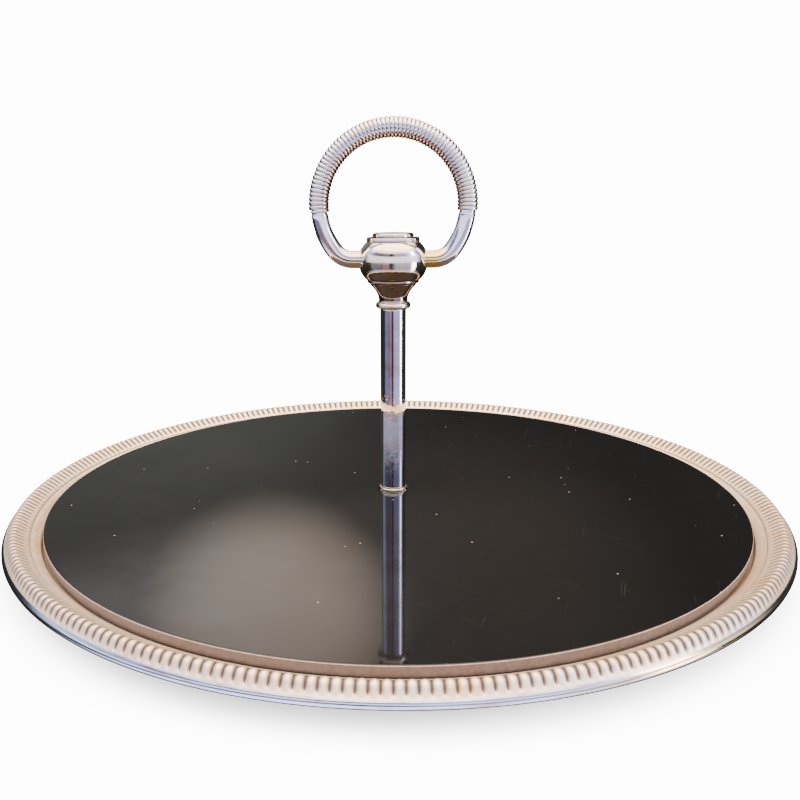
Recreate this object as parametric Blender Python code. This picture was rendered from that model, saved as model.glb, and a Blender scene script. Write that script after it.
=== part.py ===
"""Round serving plate: a glass disc in a fluted tray, a central post and a swinging ring handle.

Metres, +Z up.  The plate stands on four feet at z = 0 and the post's axis is the Z axis.  The
handle swings about a line along X through the knob.  Neighbouring pieces keep GAP between them.
"""
import math

import bmesh
import bpy
from mathutils import Matrix, Vector

# Driving dimensions
GAP = 0.0003
EASE = 0.0004               # small bevel on a turned edge
SHEET = 0.0008              # wall of the pressed tray
RIM_LIFT = 0.0085           # the rim's lowest line above the table
TRAY_RADIUS = 0.160
ROLL_RADIUS = 0.0018        # rolled outer edge
CREST_RADIUS = 0.0020       # rounded top of the fluted band
CREST_R = 0.1556            # where the fluted band is highest
CREST_Z = RIM_LIFT + 0.0070
FLUTE_OUTER = (0.1587, RIM_LIFT + 0.00395)
GROOVE = (0.1498, RIM_LIFT + 0.0034)
LIP = (0.1464, RIM_LIFT + 0.0015)
GLASS_RADIUS = 0.1451
GLASS_TOP = RIM_LIFT + 0.0048
GLASS_THICKNESS = 0.0040
GLASS_HOLE = 0.0060
GLASS_PLAY = 0.0005         # room round the glass at the tray's floor
LINER_THICKNESS = 0.0005
ROD_RADIUS = 0.0024
ROD_HOLE = ROD_RADIUS + GAP
WASHER_RADIUS = 0.0060
WASHER_THICKNESS = 0.0010
TUBE_RADIUS = 0.0053
TUBE_BORE = 0.0043
FLANGE_Z = RIM_LIFT + 0.0844
FLANGE_RADIUS = 0.00135     # rounding of the neck's flange
NECK = ((0.0059, 0.0030), (0.0059, 0.0040), (0.0062, 0.0055), (0.0073, 0.0076),
        (0.0091, 0.0096))   # radius, and height above the flange
NECK_TOP = 0.0097
NECK_SPIGOT = 0.0050        # how far the neck reaches into the tube
KNOB_Z = RIM_LIFT + 0.0951
KNOB_TOP = RIM_LIFT + 0.1135
BALL_Z = RIM_LIFT + 0.1040
BALL_RADIUS = 0.0147
BALL_HEIGHT = 0.0105        # from its middle to where its poles would be
BALL_FULLNESS = 2.4         # 2 is an ellipse, more is squarer
BEAD_REACH = 0.0100         # bead between neck and ball
BEAD_RADIUS = 0.0007
STEP_RADIUS = 0.0108        # step that carries the button
STEP_HEIGHT = 0.0015
PIVOT_Z = RIM_LIFT + 0.1046
BUTTON_TOP = RIM_LIFT + 0.1155
BUTTON_RADIUS = 0.0084
BUTTON_THICKNESS = 0.0016   # over the rod's end
SPIGOT_RADIUS = 0.0045
SPIGOT_RISE = 0.0051        # from the pivot line to the button's spigot
STUB_RADIUS = 0.0035
STUB_INNER = 0.0065         # how near the axis the stubs reach
STUB_CLEARANCE = 0.0003
BUSH_WALL = 0.0005
BUSH_OUTER_END = 0.0137
RING_RADIUS = 0.03035
RING_Z = RIM_LIFT + 0.1266
BEND_RADIUS = 0.0095
CORE_RADIUS = 0.0032        # rod under the winding
WINDING_RADIUS = 0.00425
WINDING_END_DEG = -6.4      # below the ring's centre, on each side
CLAMP_RADIUS = 0.0120
SPRING_RADIUS = 0.0046
SPRING_TURN_DEG = 350.0     # the spring washer is split
PLAIN_WASHER = 0.0010
NUT_HEIGHT = 0.0025
NUT_CORNER = 0.0046
ROD_TAIL = 0.0005           # rod showing below the nut
FOOT_CIRCLE = 0.118
FOOT_RADIUS = 0.0070
FOOT_TAPER = 0.0008

# Heights that follow from them
GLASS_BOTTOM = GLASS_TOP - GLASS_THICKNESS
LINER_TOP = GLASS_BOTTOM - GAP
LINER_BOTTOM = LINER_TOP - LINER_THICKNESS
FLOOR_TOP = LINER_BOTTOM - GAP
FLOOR_BOTTOM = FLOOR_TOP - SHEET
WASHER_BOTTOM = GLASS_TOP + GAP
TUBE_BOTTOM = WASHER_BOTTOM + WASHER_THICKNESS + GAP
TUBE_TOP = FLANGE_Z - GAP
CLAMP_TOP = FLOOR_BOTTOM - GAP
CLAMP_BOTTOM = CLAMP_TOP - PLAIN_WASHER
SPRING_TOP = CLAMP_BOTTOM - GAP
SPRING_BOTTOM = SPRING_TOP - PLAIN_WASHER
NUT_TOP = SPRING_BOTTOM - GAP
NUT_BOTTOM = NUT_TOP - NUT_HEIGHT
ROD_BOTTOM = NUT_BOTTOM - ROD_TAIL
SPIGOT_BOTTOM = PIVOT_Z + SPIGOT_RISE
ROD_TOP = BUTTON_TOP - BUTTON_THICKNESS

LARGE_STEPS = 72
KNOB_STEPS = 40
SMALL_STEPS = 24


def clear_scene():
    """Remove whatever the scene holds."""
    for item in list(bpy.data.objects):
        bpy.data.objects.remove(item, do_unlink=True)


def finish(name, colour, roughness, metallic):
    """A plain Principled material."""
    material = bpy.data.materials.new(name)
    material.use_nodes = True
    shader = material.node_tree.nodes["Principled BSDF"]
    shader.inputs["Base Color"].default_value = (*colour, 1.0)
    shader.inputs["Roughness"].default_value = roughness
    shader.inputs["Metallic"].default_value = metallic
    return material


def place(bm, name, material, smooth_deg=35.0):
    """Close a bmesh into a named object with outward faces."""
    bmesh.ops.remove_doubles(bm, verts=bm.verts, dist=1e-7)
    bmesh.ops.recalc_face_normals(bm, faces=bm.faces)
    mesh = bpy.data.meshes.new(name)
    bm.to_mesh(mesh)
    bm.free()
    mesh.shade_smooth()
    mesh.set_sharp_from_angle(angle=math.radians(smooth_deg))
    mesh.materials.append(material)
    item = bpy.data.objects.new(name, mesh)
    bpy.context.collection.objects.link(item)
    return item


def turned(name, outline, material, steps=KNOB_STEPS, closed=True, turn_deg=360.0):
    """Turn an outline of (radius, height) pairs about the Z axis.

    A closed outline makes a ring with a hole; an open one starts and ends on the axis.  A turn
    of less than a circle gets a flat face at each end.
    """
    bm = bmesh.new()
    verts = [bm.verts.new((r, 0.0, z)) for r, z in outline]
    pairs = list(zip(verts, verts[1:]))
    if closed:
        pairs.append((verts[-1], verts[0]))
    edges = [bm.edges.new(pair) for pair in pairs]
    whole = turn_deg == 360.0
    bmesh.ops.spin(bm, geom=verts + edges, cent=(0, 0, 0), axis=(0, 0, 1),
                   angle=math.radians(turn_deg), steps=steps, use_merge=whole)
    if not whole:
        bmesh.ops.holes_fill(bm, edges=[edge for edge in bm.edges if edge.is_boundary])
    return place(bm, name, material)


def arc(centre, radius, start_deg, end_deg, count):
    """Points on a circle in the (radius, height) plane, both ends included."""
    turn = math.radians(end_deg - start_deg) / (count - 1)
    angles = [math.radians(start_deg) + turn * i for i in range(count)]
    return [(centre[0] + radius * math.cos(a), centre[1] + radius * math.sin(a)) for a in angles]


def ring_outline(inner, outer, bottom, top):
    """The outline of a plain washer or tube."""
    return [(inner, bottom), (outer, bottom), (outer, top), (inner, top)]


def swept(name, stations, material, sides=12, closed=False):
    """Skin circles set across a path in the XZ plane.

    Each station is (x, z, tangent angle, radius).  An open skin is capped at both ends; a closed
    one joins its last circle to its first.
    """
    bm = bmesh.new()
    loops = []
    for x, z, heading, radius in stations:
        across = Vector((-math.sin(heading), 0.0, math.cos(heading)))
        loop = []
        for i in range(sides):
            turn = 2 * math.pi * i / sides
            offset = across * math.cos(turn) + Vector((0.0, 1.0, 0.0)) * math.sin(turn)
            loop.append(bm.verts.new(Vector((x, 0.0, z)) + offset * radius))
        loops.append(loop)
    pairs = list(zip(loops, loops[1:]))
    if closed:
        pairs.append((loops[-1], loops[0]))
    else:
        bm.faces.new(loops[0])
        bm.faces.new(loops[-1])
    for first, second in pairs:
        for i in range(sides):
            j = (i + 1) % sides
            bm.faces.new((first[i], first[j], second[j], second[i]))
    return place(bm, name, material)


def cutter(name, radius, depth, matrix):
    """A guide cylinder that a Boolean takes away; it lies along Z before the matrix."""
    bm = bmesh.new()
    bmesh.ops.create_cone(bm, cap_ends=True, segments=KNOB_STEPS, radius1=radius, radius2=radius,
                          depth=depth, matrix=matrix)
    item = place(bm, name, finish(name, (0.5, 0.5, 0.5), 0.5, 0.0))
    item.hide_render = True
    item.display_type = "WIRE"
    return item


def cut(item, tool):
    """Take one solid away from another."""
    modifier = item.modifiers.new("cut", "BOOLEAN")
    modifier.operation = "DIFFERENCE"
    modifier.solver = "EXACT"
    modifier.object = tool


def tray_outline():
    """The pressed tray's section: floor, lip, cove, groove, fluted band and rolled edge."""
    crest = (CREST_R, CREST_Z - CREST_RADIUS)
    roll = (TRAY_RADIUS - ROLL_RADIUS, RIM_LIFT + ROLL_RADIUS)
    floor_edge = GLASS_RADIUS + GLASS_PLAY
    top = [(ROD_HOLE, FLOOR_TOP), (floor_edge, FLOOR_TOP), (LIP[0] - 0.0004, LIP[1] - 0.0004)]
    top += [LIP, (LIP[0] + 0.0006, LIP[1] + 0.0003), GROOVE]
    top += arc(crest, CREST_RADIUS, 121, 35, 5)
    top += [FLUTE_OUTER]
    top += arc(roll, ROLL_RADIUS, 60, -120, 10)
    under = arc(roll, ROLL_RADIUS - SHEET, -120, 60, 7)
    under += arc(crest, CREST_RADIUS - SHEET, 35, 121, 4)
    under += [(GROOVE[0] + 0.0001, GROOVE[1] - SHEET), (LIP[0] + 0.0009, LIP[1] - SHEET)]
    under += [(floor_edge + SHEET, FLOOR_BOTTOM), (ROD_HOLE, FLOOR_BOTTOM)]
    return top + under


def make_tray():
    """Pressed tray, the plated rim and the floor in one sheet."""
    plated = finish("tray_pan", (0.86, 0.81, 0.76), 0.12, 1.0)
    turned("tray_pan", tray_outline(), plated, LARGE_STEPS)


def make_glass():
    """Black glass disc, the liner under it and the sleeve that keeps the rod off it."""
    liner = finish("bedding_disc", (0.10, 0.12, 0.10), 0.95, 0.0)
    outline = ring_outline(GLASS_HOLE, GLASS_RADIUS - 2 * GAP, LINER_BOTTOM, LINER_TOP)
    turned("bedding_disc", outline, liner, LARGE_STEPS)
    glass = finish("glass_insert", (0.012, 0.012, 0.012), 0.04, 0.0)
    outline = [(GLASS_HOLE, GLASS_BOTTOM), (GLASS_RADIUS - EASE, GLASS_BOTTOM),
               (GLASS_RADIUS, GLASS_BOTTOM + EASE), (GLASS_RADIUS, GLASS_TOP - EASE),
               (GLASS_RADIUS - EASE, GLASS_TOP), (GLASS_HOLE, GLASS_TOP)]
    turned("glass_insert", outline, glass, LARGE_STEPS)
    sleeve = finish("glass_bush", (0.78, 0.74, 0.62), 0.5, 0.0)
    outline = ring_outline(ROD_HOLE, GLASS_HOLE - EASE, FLOOR_TOP + GAP, GLASS_TOP - GAP)
    turned("glass_bush", outline, sleeve, SMALL_STEPS)


def make_post():
    """Washer, chromed tube and the threaded rod inside it."""
    brass = finish("post_washer", (0.85, 0.74, 0.50), 0.25, 1.0)
    top = WASHER_BOTTOM + WASHER_THICKNESS
    turned("post_washer", ring_outline(ROD_HOLE, WASHER_RADIUS, WASHER_BOTTOM, top), brass,
           SMALL_STEPS)
    chrome = finish("post_tube", (0.80, 0.80, 0.84), 0.08, 1.0)
    outline = [(TUBE_BORE, TUBE_BOTTOM), (TUBE_RADIUS - EASE, TUBE_BOTTOM),
               (TUBE_RADIUS, TUBE_BOTTOM + EASE), (TUBE_RADIUS, TUBE_TOP), (TUBE_BORE, TUBE_TOP)]
    turned("post_tube", outline, chrome, KNOB_STEPS)
    steel = finish("tie_rod", (0.55, 0.55, 0.56), 0.35, 1.0)
    outline = [(0.0, ROD_BOTTOM), (ROD_RADIUS, ROD_BOTTOM), (ROD_RADIUS, ROD_TOP), (0.0, ROD_TOP)]
    turned("tie_rod", outline, steel, SMALL_STEPS, closed=False)


def make_neck():
    """Flared neck with a small flange that sits on the tube and a spigot inside it."""
    plated = finish("neck_cup", (0.78, 0.74, 0.70), 0.12, 1.0)
    spigot = TUBE_BORE - GAP
    spigot_end = FLANGE_Z - NECK_SPIGOT
    top = KNOB_Z - GAP
    outline = [(ROD_HOLE, spigot_end), (spigot, spigot_end), (spigot, FLANGE_Z)]
    outline += arc((NECK[0][0], FLANGE_Z + FLANGE_RADIUS), FLANGE_RADIUS, -90, 90, 6)
    outline += [(radius, FLANGE_Z + rise) for radius, rise in NECK]
    outline += [(NECK_TOP, top), (ROD_HOLE, top)]
    turned("neck_cup", outline, plated)


def ball_arc(start_deg, end_deg, count):
    """Points on the ball's full-bodied profile, both ends included."""
    power = 2 / BALL_FULLNESS
    points = []
    for i in range(count):
        a = math.radians(start_deg + (end_deg - start_deg) * i / (count - 1))
        rise = math.copysign(abs(math.sin(a)) ** power, a)
        points.append((BALL_RADIUS * math.cos(a) ** power, BALL_Z + BALL_HEIGHT * rise))
    return points


def make_knob():
    """Ball of the knob, cross-drilled for the handle's stubs, and the bushes in it."""
    plated = finish("knob_body", (0.84, 0.78, 0.70), 0.12, 1.0)
    counterbore = SPIGOT_RADIUS + GAP
    outline = [(ROD_HOLE, KNOB_Z)]
    outline += arc((BEAD_REACH, KNOB_Z + BEAD_RADIUS), BEAD_RADIUS, -90, 60, 5)
    outline += ball_arc(-45, 44, 13)
    outline += [(STEP_RADIUS, KNOB_TOP - STEP_HEIGHT), (STEP_RADIUS, KNOB_TOP)]
    outline += [(counterbore, KNOB_TOP), (counterbore, SPIGOT_BOTTOM - GAP)]
    outline += [(ROD_HOLE, SPIGOT_BOTTOM - GAP)]
    knob = turned("knob_body", outline, plated)
    bush_outer = STUB_RADIUS + STUB_CLEARANCE + BUSH_WALL
    sideways = Matrix.Translation((0.0, 0.0, PIVOT_Z)) @ Matrix.Rotation(math.pi / 2, 4, "Y")
    cut(knob, cutter("cross_bore", bush_outer + GAP, 4 * BALL_RADIUS, sideways))
    brass = finish("pivot_bush", (0.83, 0.66, 0.32), 0.25, 1.0)
    for side, sign in (("left", -1), ("right", 1)):
        outer = [(STUB_INNER, bush_outer), (BUSH_OUTER_END, bush_outer)]
        inner = [(BUSH_OUTER_END, bush_outer - BUSH_WALL), (STUB_INNER, bush_outer - BUSH_WALL)]
        stations = [(sign * x, PIVOT_Z, 0.0, radius) for x, radius in outer + inner]
        swept(f"pivot_bush_{side}", stations, brass, sides=SMALL_STEPS, closed=True)


def make_button():
    """Cap nut that closes the top of the knob."""
    plated = finish("top_button", (0.84, 0.80, 0.76), 0.12, 1.0)
    base = KNOB_TOP + GAP
    outline = [(0.0, ROD_TOP + GAP), (ROD_HOLE, ROD_TOP + GAP), (ROD_HOLE, SPIGOT_BOTTOM),
               (SPIGOT_RADIUS, SPIGOT_BOTTOM), (SPIGOT_RADIUS, base),
               (BUTTON_RADIUS - EASE, base), (BUTTON_RADIUS, base + EASE),
               (BUTTON_RADIUS, BUTTON_TOP - EASE), (BUTTON_RADIUS - EASE, BUTTON_TOP),
               (0.0, BUTTON_TOP)]
    turned("top_button", outline, plated, closed=False)


def handle_path():
    """Right half of the handle's centreline, from the stub's end to the top of the ring.

    The stub runs out along X, a bend of BEND_RADIUS turns it up, and it meets the ring where
    both circles touch.  Each point is (x, z, heading).
    """
    reach = RING_RADIUS - BEND_RADIUS
    drop = RING_Z - PIVOT_Z - BEND_RADIUS
    bend_x = math.sqrt(reach ** 2 - drop ** 2)
    bend_z = PIVOT_Z + BEND_RADIUS
    meet = math.atan2(bend_z - RING_Z, bend_x)
    path = [(STUB_INNER, PIVOT_Z, 0.0)]
    bend_steps = 6
    for i in range(bend_steps + 1):
        a = -math.pi / 2 + (meet + math.pi / 2) * i / bend_steps
        path.append((bend_x + BEND_RADIUS * math.cos(a), bend_z + BEND_RADIUS * math.sin(a),
                     a + math.pi / 2))
    for a in (meet / 2, math.radians(WINDING_END_DEG)):
        path.append((*ring_point(a), a + math.pi / 2))
    return path


def ring_point(angle):
    """A point (x, z) of the ring's centreline."""
    return RING_RADIUS * math.cos(angle), RING_Z + RING_RADIUS * math.sin(angle)


def winding_angles(ease=0.0):
    """Angles along the wound part of the ring, from its right end round to its left end."""
    start = math.radians(WINDING_END_DEG) + ease
    end = math.pi - start
    count = 30
    return [start + (end - start) * i / count for i in range(count + 1)]


def make_handle():
    """Bent rod with its two stubs, thinner where the wire is wound on, and the winding."""
    plated = finish("handle_ring", (0.82, 0.80, 0.84), 0.12, 1.0)
    right = [(x, z, heading, STUB_RADIUS) for x, z, heading in handle_path()]
    left = [(-x, z, -heading, STUB_RADIUS) for x, z, heading in reversed(handle_path())]
    core = [(*ring_point(a), a + math.pi / 2, CORE_RADIUS) for a in winding_angles()]
    swept("handle_ring", right + core + left, plated)
    wire = finish("grip_winding", (0.80, 0.76, 0.74), 0.2, 1.0)
    angles = winding_angles(ease=GAP / RING_RADIUS)
    outer = [(*ring_point(a), a + math.pi / 2, WINDING_RADIUS) for a in angles]
    inner = [(*ring_point(a), a + math.pi / 2, CORE_RADIUS + GAP) for a in reversed(angles)]
    swept("grip_winding", outer + inner, wire, closed=True)


def make_underside():
    """Washer, spring washer and nut that clamp the post from below, and the feet."""
    zinc = finish("clamp_washer", (0.60, 0.60, 0.58), 0.35, 1.0)
    outline = ring_outline(ROD_HOLE, CLAMP_RADIUS, CLAMP_BOTTOM, CLAMP_TOP)
    turned("clamp_washer", outline, zinc, SMALL_STEPS)
    spring = finish("lock_washer", (0.42, 0.42, 0.42), 0.4, 1.0)
    outline = ring_outline(ROD_HOLE, SPRING_RADIUS, SPRING_BOTTOM, SPRING_TOP)
    turned("lock_washer", outline, spring, SMALL_STEPS, turn_deg=SPRING_TURN_DEG)
    make_nut()
    rubber = finish("foot", (0.05, 0.05, 0.05), 0.8, 0.0)
    for name, angle in (("foot_front_left", 225), ("foot_front_right", 315),
                        ("foot_rear_right", 45), ("foot_rear_left", 135)):
        make_foot(name, math.radians(angle), rubber)


def make_nut():
    """Thin hexagon nut."""
    middle = Matrix.Translation((0.0, 0.0, (NUT_BOTTOM + NUT_TOP) / 2))
    bm = bmesh.new()
    bmesh.ops.create_cone(bm, cap_ends=True, segments=6, radius1=NUT_CORNER,
                          radius2=NUT_CORNER, depth=NUT_HEIGHT, matrix=middle)
    nut = place(bm, "clamp_nut", finish("clamp_nut", (0.62, 0.60, 0.55), 0.35, 1.0))
    cut(nut, cutter("nut_bore", ROD_HOLE, 2 * NUT_HEIGHT, middle))


def make_foot(name, angle, material):
    """Tapered rubber foot stuck under the floor."""
    top = FLOOR_BOTTOM - GAP
    lower = FOOT_RADIUS - FOOT_TAPER
    outline = [(0.0, 0.0), (lower - EASE, 0.0), (lower, EASE), (FOOT_RADIUS, top), (0.0, top)]
    foot = turned(name, outline, material, SMALL_STEPS, closed=False)
    foot.location = (FOOT_CIRCLE * math.cos(angle), FOOT_CIRCLE * math.sin(angle), 0.0)


def main():
    """Build every piece of the plate."""
    clear_scene()
    make_tray()
    make_glass()
    make_post()
    make_neck()
    make_knob()
    make_button()
    make_handle()
    make_underside()


main()
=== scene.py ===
"""Looks of a round serving plate with a ring handle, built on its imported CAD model.

Metres, +Z up, in the CAD model's own frame: the plate stands on its feet at z = 0, the post's axis
is the Z axis and the handle's pivot lies along X.  Every class takes its places from the boxes of
the CAD nodes and keeps only its own small sizes as fields.
"""

from __future__ import annotations

import logging
import math
from collections.abc import Callable, Mapping, Sequence
from dataclasses import dataclass, field
from enum import Enum
from typing import Any

import bmesh
import bpy
from mathutils import Matrix, Vector

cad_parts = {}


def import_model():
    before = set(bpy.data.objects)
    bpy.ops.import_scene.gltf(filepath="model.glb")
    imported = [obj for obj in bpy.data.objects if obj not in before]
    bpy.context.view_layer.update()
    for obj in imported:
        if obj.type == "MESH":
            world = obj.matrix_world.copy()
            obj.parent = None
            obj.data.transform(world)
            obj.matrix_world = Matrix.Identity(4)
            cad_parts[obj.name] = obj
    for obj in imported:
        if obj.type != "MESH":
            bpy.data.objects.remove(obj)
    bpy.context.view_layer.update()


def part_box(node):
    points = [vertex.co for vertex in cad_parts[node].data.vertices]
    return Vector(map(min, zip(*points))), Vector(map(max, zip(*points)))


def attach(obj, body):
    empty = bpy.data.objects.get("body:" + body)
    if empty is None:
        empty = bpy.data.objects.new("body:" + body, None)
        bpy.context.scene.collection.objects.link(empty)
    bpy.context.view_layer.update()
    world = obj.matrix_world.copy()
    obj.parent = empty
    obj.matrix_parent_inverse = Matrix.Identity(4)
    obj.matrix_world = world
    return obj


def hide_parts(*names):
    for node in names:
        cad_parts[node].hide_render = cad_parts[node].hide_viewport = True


LOG = logging.getLogger("serving_plate")

Colour = tuple[float, float, float]
Point = tuple[float, float]
Corner = tuple[float, float, float]
Shape = Callable[[float, float, float], float]
Socket = bpy.types.NodeSocket

MILLIMETRE = 0.001
# Name of the attribute that holds painted shade, with some grime, in recesses.
SHADE_AND_GRIME = "shade_and_grime"
PRESS = "press"
# How dark the painted shade, with some grime, is in the flutes' valleys.
VALLEY_SHADE_AND_GRIME = 1.25
LONG_RUN = 2.5 * MILLIMETRE
HOLD = 0.3 * MILLIMETRE


class Body(Enum):
    """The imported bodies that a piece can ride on."""

    STAND = "stand"
    HANDLE = "handle"


class Side(Enum):
    """The two sides of the post, as signs along X."""

    LEFT = -1
    RIGHT = 1


# --------------------------------------------------------------------------- node trees


@dataclass
class Graph:
    """A node tree while it is being wired up.

    Attributes:
        tree: The shader, world or geometry tree that receives the nodes.
    """

    tree: bpy.types.NodeTree

    def node(self, kind: str, feeds: Mapping[str | int, Any] | None = None,
             **settings: Any) -> bpy.types.Node:
        """Add a node.

        Args:
            kind: The node type's identifier.
            feeds: A socket or a constant for each input, by its name or its number.
            **settings: Properties of the node itself.

        Returns:
            The new node.
        """
        made = self.tree.nodes.new(kind)
        for name, value in settings.items():
            setattr(made, name, value)
        for key, value in (feeds or {}).items():
            self.feed(made.inputs[key], value)
        return made

    def feed(self, entry: Socket, value: Any) -> None:
        """Link a socket to an input, or set the input to a constant.

        Args:
            entry: The input.
            value: A socket, a number, a vector or a colour.
        """
        if isinstance(value, bpy.types.NodeSocket):
            self.tree.links.new(value, entry)
        elif entry.type == "RGBA":
            entry.default_value = (*value[:3], 1.0)
        else:
            entry.default_value = value

    def math(self, operation: str, *operands: Any, clamp: bool = False) -> Socket:
        """Return the result of a Math node on up to three operands."""
        made = self.node("ShaderNodeMath", dict(enumerate(operands)), operation=operation,
                         use_clamp=clamp)
        return made.outputs[0]

    def remap(self, value: Any, low: float, high: float, to_low: float = 0.0,
              to_high: float = 1.0) -> Socket:
        """Return a value carried smoothly from one range to another.

        Args:
            value: The socket to carry over.
            low: Where the source range starts; it may be above high.
            high: Where the source range ends.
            to_low: The result at low.
            to_high: The result at high.

        Returns:
            The result's socket, kept inside the target range.
        """
        feeds = {"Value": value, 1: low, 2: high, 3: to_low, 4: to_high}
        made = self.node("ShaderNodeMapRange", feeds, interpolation_type="SMOOTHSTEP")
        return made.outputs["Result"]

    def mix(self, factor: Any, first: Any, second: Any, mode: str = "MIX") -> Socket:
        """Return two colours mixed by a factor."""
        feeds = {0: factor, 6: first, 7: second}
        made = self.node("ShaderNodeMix", feeds, data_type="RGBA", blend_type=mode)
        return made.outputs[2]

    def noise(self, place: Any, scale: float, detail: float = 3.0,
              roughness: float = 0.5) -> Socket:
        """Return a soft noise at a place."""
        feeds = {"Vector": place, "Scale": scale, "Detail": detail, "Roughness": roughness}
        return self.node("ShaderNodeTexNoise", feeds).outputs[0]

    def stretched(self, place: Any, scale: Corner, turn_deg: Corner = (0, 0, 0)) -> Socket:
        """Return a place turned, then scaled along each axis."""
        turned = self.node("ShaderNodeMapping", {
            "Vector": place, "Rotation": [math.radians(a) for a in turn_deg]})
        feeds = {"Vector": turned.outputs[0], "Scale": scale}
        return self.node("ShaderNodeMapping", feeds).outputs[0]

    def ramp(self, value: Any, stops: Sequence[tuple[float, Colour]]) -> Socket:
        """Return the colour of a ramp at a value."""
        made = self.node("ShaderNodeValToRGB", {"Fac": value})
        bar = made.color_ramp
        bar.interpolation = "EASE"
        while len(bar.elements) < len(stops):
            bar.elements.new(1.0)
        for element, (position, colour) in zip(bar.elements, stops):
            element.position = position
            element.color = (*colour, 1.0)
        return made.outputs["Color"]

    def parts(self, place: Any) -> tuple[Socket, Socket, Socket]:
        """Return the three coordinates of a place."""
        outputs = self.node("ShaderNodeSeparateXYZ", {0: place}).outputs
        return outputs[0], outputs[1], outputs[2]

    def length(self, first: Socket, second: Socket) -> Socket:
        """Return the length of a flat vector from its two parts."""
        flat = self.node("ShaderNodeCombineXYZ", {0: first, 1: second}).outputs[0]
        return self.node("ShaderNodeVectorMath", {0: flat}, operation="LENGTH").outputs[1]

    def attribute(self, name: str) -> Socket:
        """Return a mesh attribute's value as a factor."""
        return self.node("ShaderNodeAttribute", attribute_name=name).outputs["Fac"]

    def bump(self, height: Any, strength: float, distance: float,
             normal: Any | None = None) -> Socket:
        """Return a normal disturbed by a height.

        Args:
            height: The height's socket.
            strength: How much of the disturbance shows.
            distance: The height of a value of one, in metres.
            normal: Another disturbed normal to start from.

        Returns:
            The normal's socket.
        """
        feeds = {"Height": height, "Strength": strength, "Distance": distance}
        if normal is not None:
            feeds["Normal"] = normal
        return self.node("ShaderNodeBump", feeds).outputs[0]


# --------------------------------------------------------------------------- finishes


@dataclass(frozen=True)
class Finish:
    """A procedural material on the piece's own coordinates.

    Attributes:
        name: The material's name.
    """

    name: str

    def build(self) -> bpy.types.Material:
        """Return a new material with this finish."""
        material = bpy.data.materials.new(self.name)
        material.use_nodes = True
        graph = Graph(material.node_tree)
        shader = material.node_tree.nodes["Principled BSDF"]
        place = graph.node("ShaderNodeTexCoord").outputs["Object"]
        self.paint(graph, shader, place)
        return material

    def paint(self, graph: Graph, shader: bpy.types.Node, place: Socket) -> None:
        """Wire the shader.

        Args:
            graph: The material's tree.
            shader: Its Principled shader.
            place: The object coordinates.
        """
        raise NotImplementedError


@dataclass(frozen=True)
class PlatedMetal(Finish):
    """Bright plating with tarnish in patches, painted shade with some grime in the recesses, and
    fine scratches.

    Attributes:
        bright: Clean plating.
        warm: Yellowed plating.
        cool: Plating with a lavender or blue film.
        shade_and_grime_colour: Painted shade, with some grime, in grooves and corners.
        patches: Tarnish patches per metre.
        smooth: Roughness where the metal is clean.
        dull: Roughness where it is tarnished.
        scratches: Strength of the scratches.
        rubbed: Roughness that the scratches add.
        metal: Share of bare metal, the rest being a dry film on it.
        dirt_rough: Roughness that dirt adds.
        ripple: Height of the metal's slow waves.
        scratch_depth: Depth of a scratch.
    """

    bright: Colour = (0.90, 0.86, 0.82)
    warm: Colour = (0.86, 0.70, 0.54)
    cool: Colour = (0.70, 0.70, 0.84)
    shade_and_grime_colour: Colour = (0.10, 0.06, 0.05)
    patches: float = 45.0
    smooth: float = 0.07
    dull: float = 0.18
    scratches: float = 0.20
    rubbed: float = 0.08
    metal: float = 1.0
    dirt_rough: float = 0.35
    ripple: float = 0.00012
    scratch_depth: float = 0.00002

    def paint(self, graph: Graph, shader: bpy.types.Node, place: Socket) -> None:
        """Wire colour, roughness and scratches into the shader."""
        # Painted shade with some grime: the recess attribute darkens the colour in grooves and
        # corners.
        shade_and_grime = graph.attribute(SHADE_AND_GRIME)
        clouds = graph.noise(place, self.patches * 9.0, 4.0, 0.65)
        colour = graph.mix(shade_and_grime, self.tone(graph, place, clouds), self.shade_and_grime_colour)
        shader.inputs["Metallic"].default_value = self.metal
        graph.feed(shader.inputs["Base Color"], colour)
        film = graph.remap(clouds, 0.42, 0.72, self.smooth, self.dull)
        rubbed = graph.math("MULTIPLY_ADD", self.rubbing(graph, place), self.rubbed, film)
        graph.feed(shader.inputs["Roughness"],
                   graph.math("MULTIPLY_ADD", shade_and_grime, self.dirt_rough, rubbed, clamp=True))
        ripple = graph.bump(graph.noise(place, self.patches * 3.0, 2.0), 0.25, self.ripple)
        normal = graph.bump(self.rubbing(graph, place), self.scratches, self.scratch_depth,
                            ripple)
        graph.feed(shader.inputs["Normal"], normal)

    def tone(self, graph: Graph, place: Socket, clouds: Socket) -> Socket:
        """Return the plating's colour, before dirt.

        Args:
            graph: The material's tree.
            place: The object coordinates.
            clouds: The noise that also drives the roughness.

        Returns:
            The colour's socket.
        """
        drift = graph.noise(place, self.patches, 3.0, 0.55)
        colour = graph.ramp(drift, ((0.30, self.cool), (0.48, self.bright), (0.68, self.warm)))
        stain = graph.math("MULTIPLY", graph.remap(clouds, 0.52, 0.74), 0.45)
        return graph.mix(stain, colour, self.warm, "MULTIPLY")

    def rubbing(self, graph: Graph, place: Socket) -> Socket:
        """Return fine hairlines that run two ways over the surface."""
        along = graph.noise(graph.stretched(place, (60, 2600, 900), (20, 5, 33)), 1.0, 2.0)
        across = graph.noise(graph.stretched(place, (2400, 70, 1100), (0, 12, -21)), 1.0, 2.0)
        first = graph.remap(along, 0.60, 0.72)
        second = graph.remap(across, 0.62, 0.74)
        return graph.math("MAXIMUM", first, second)


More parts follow.
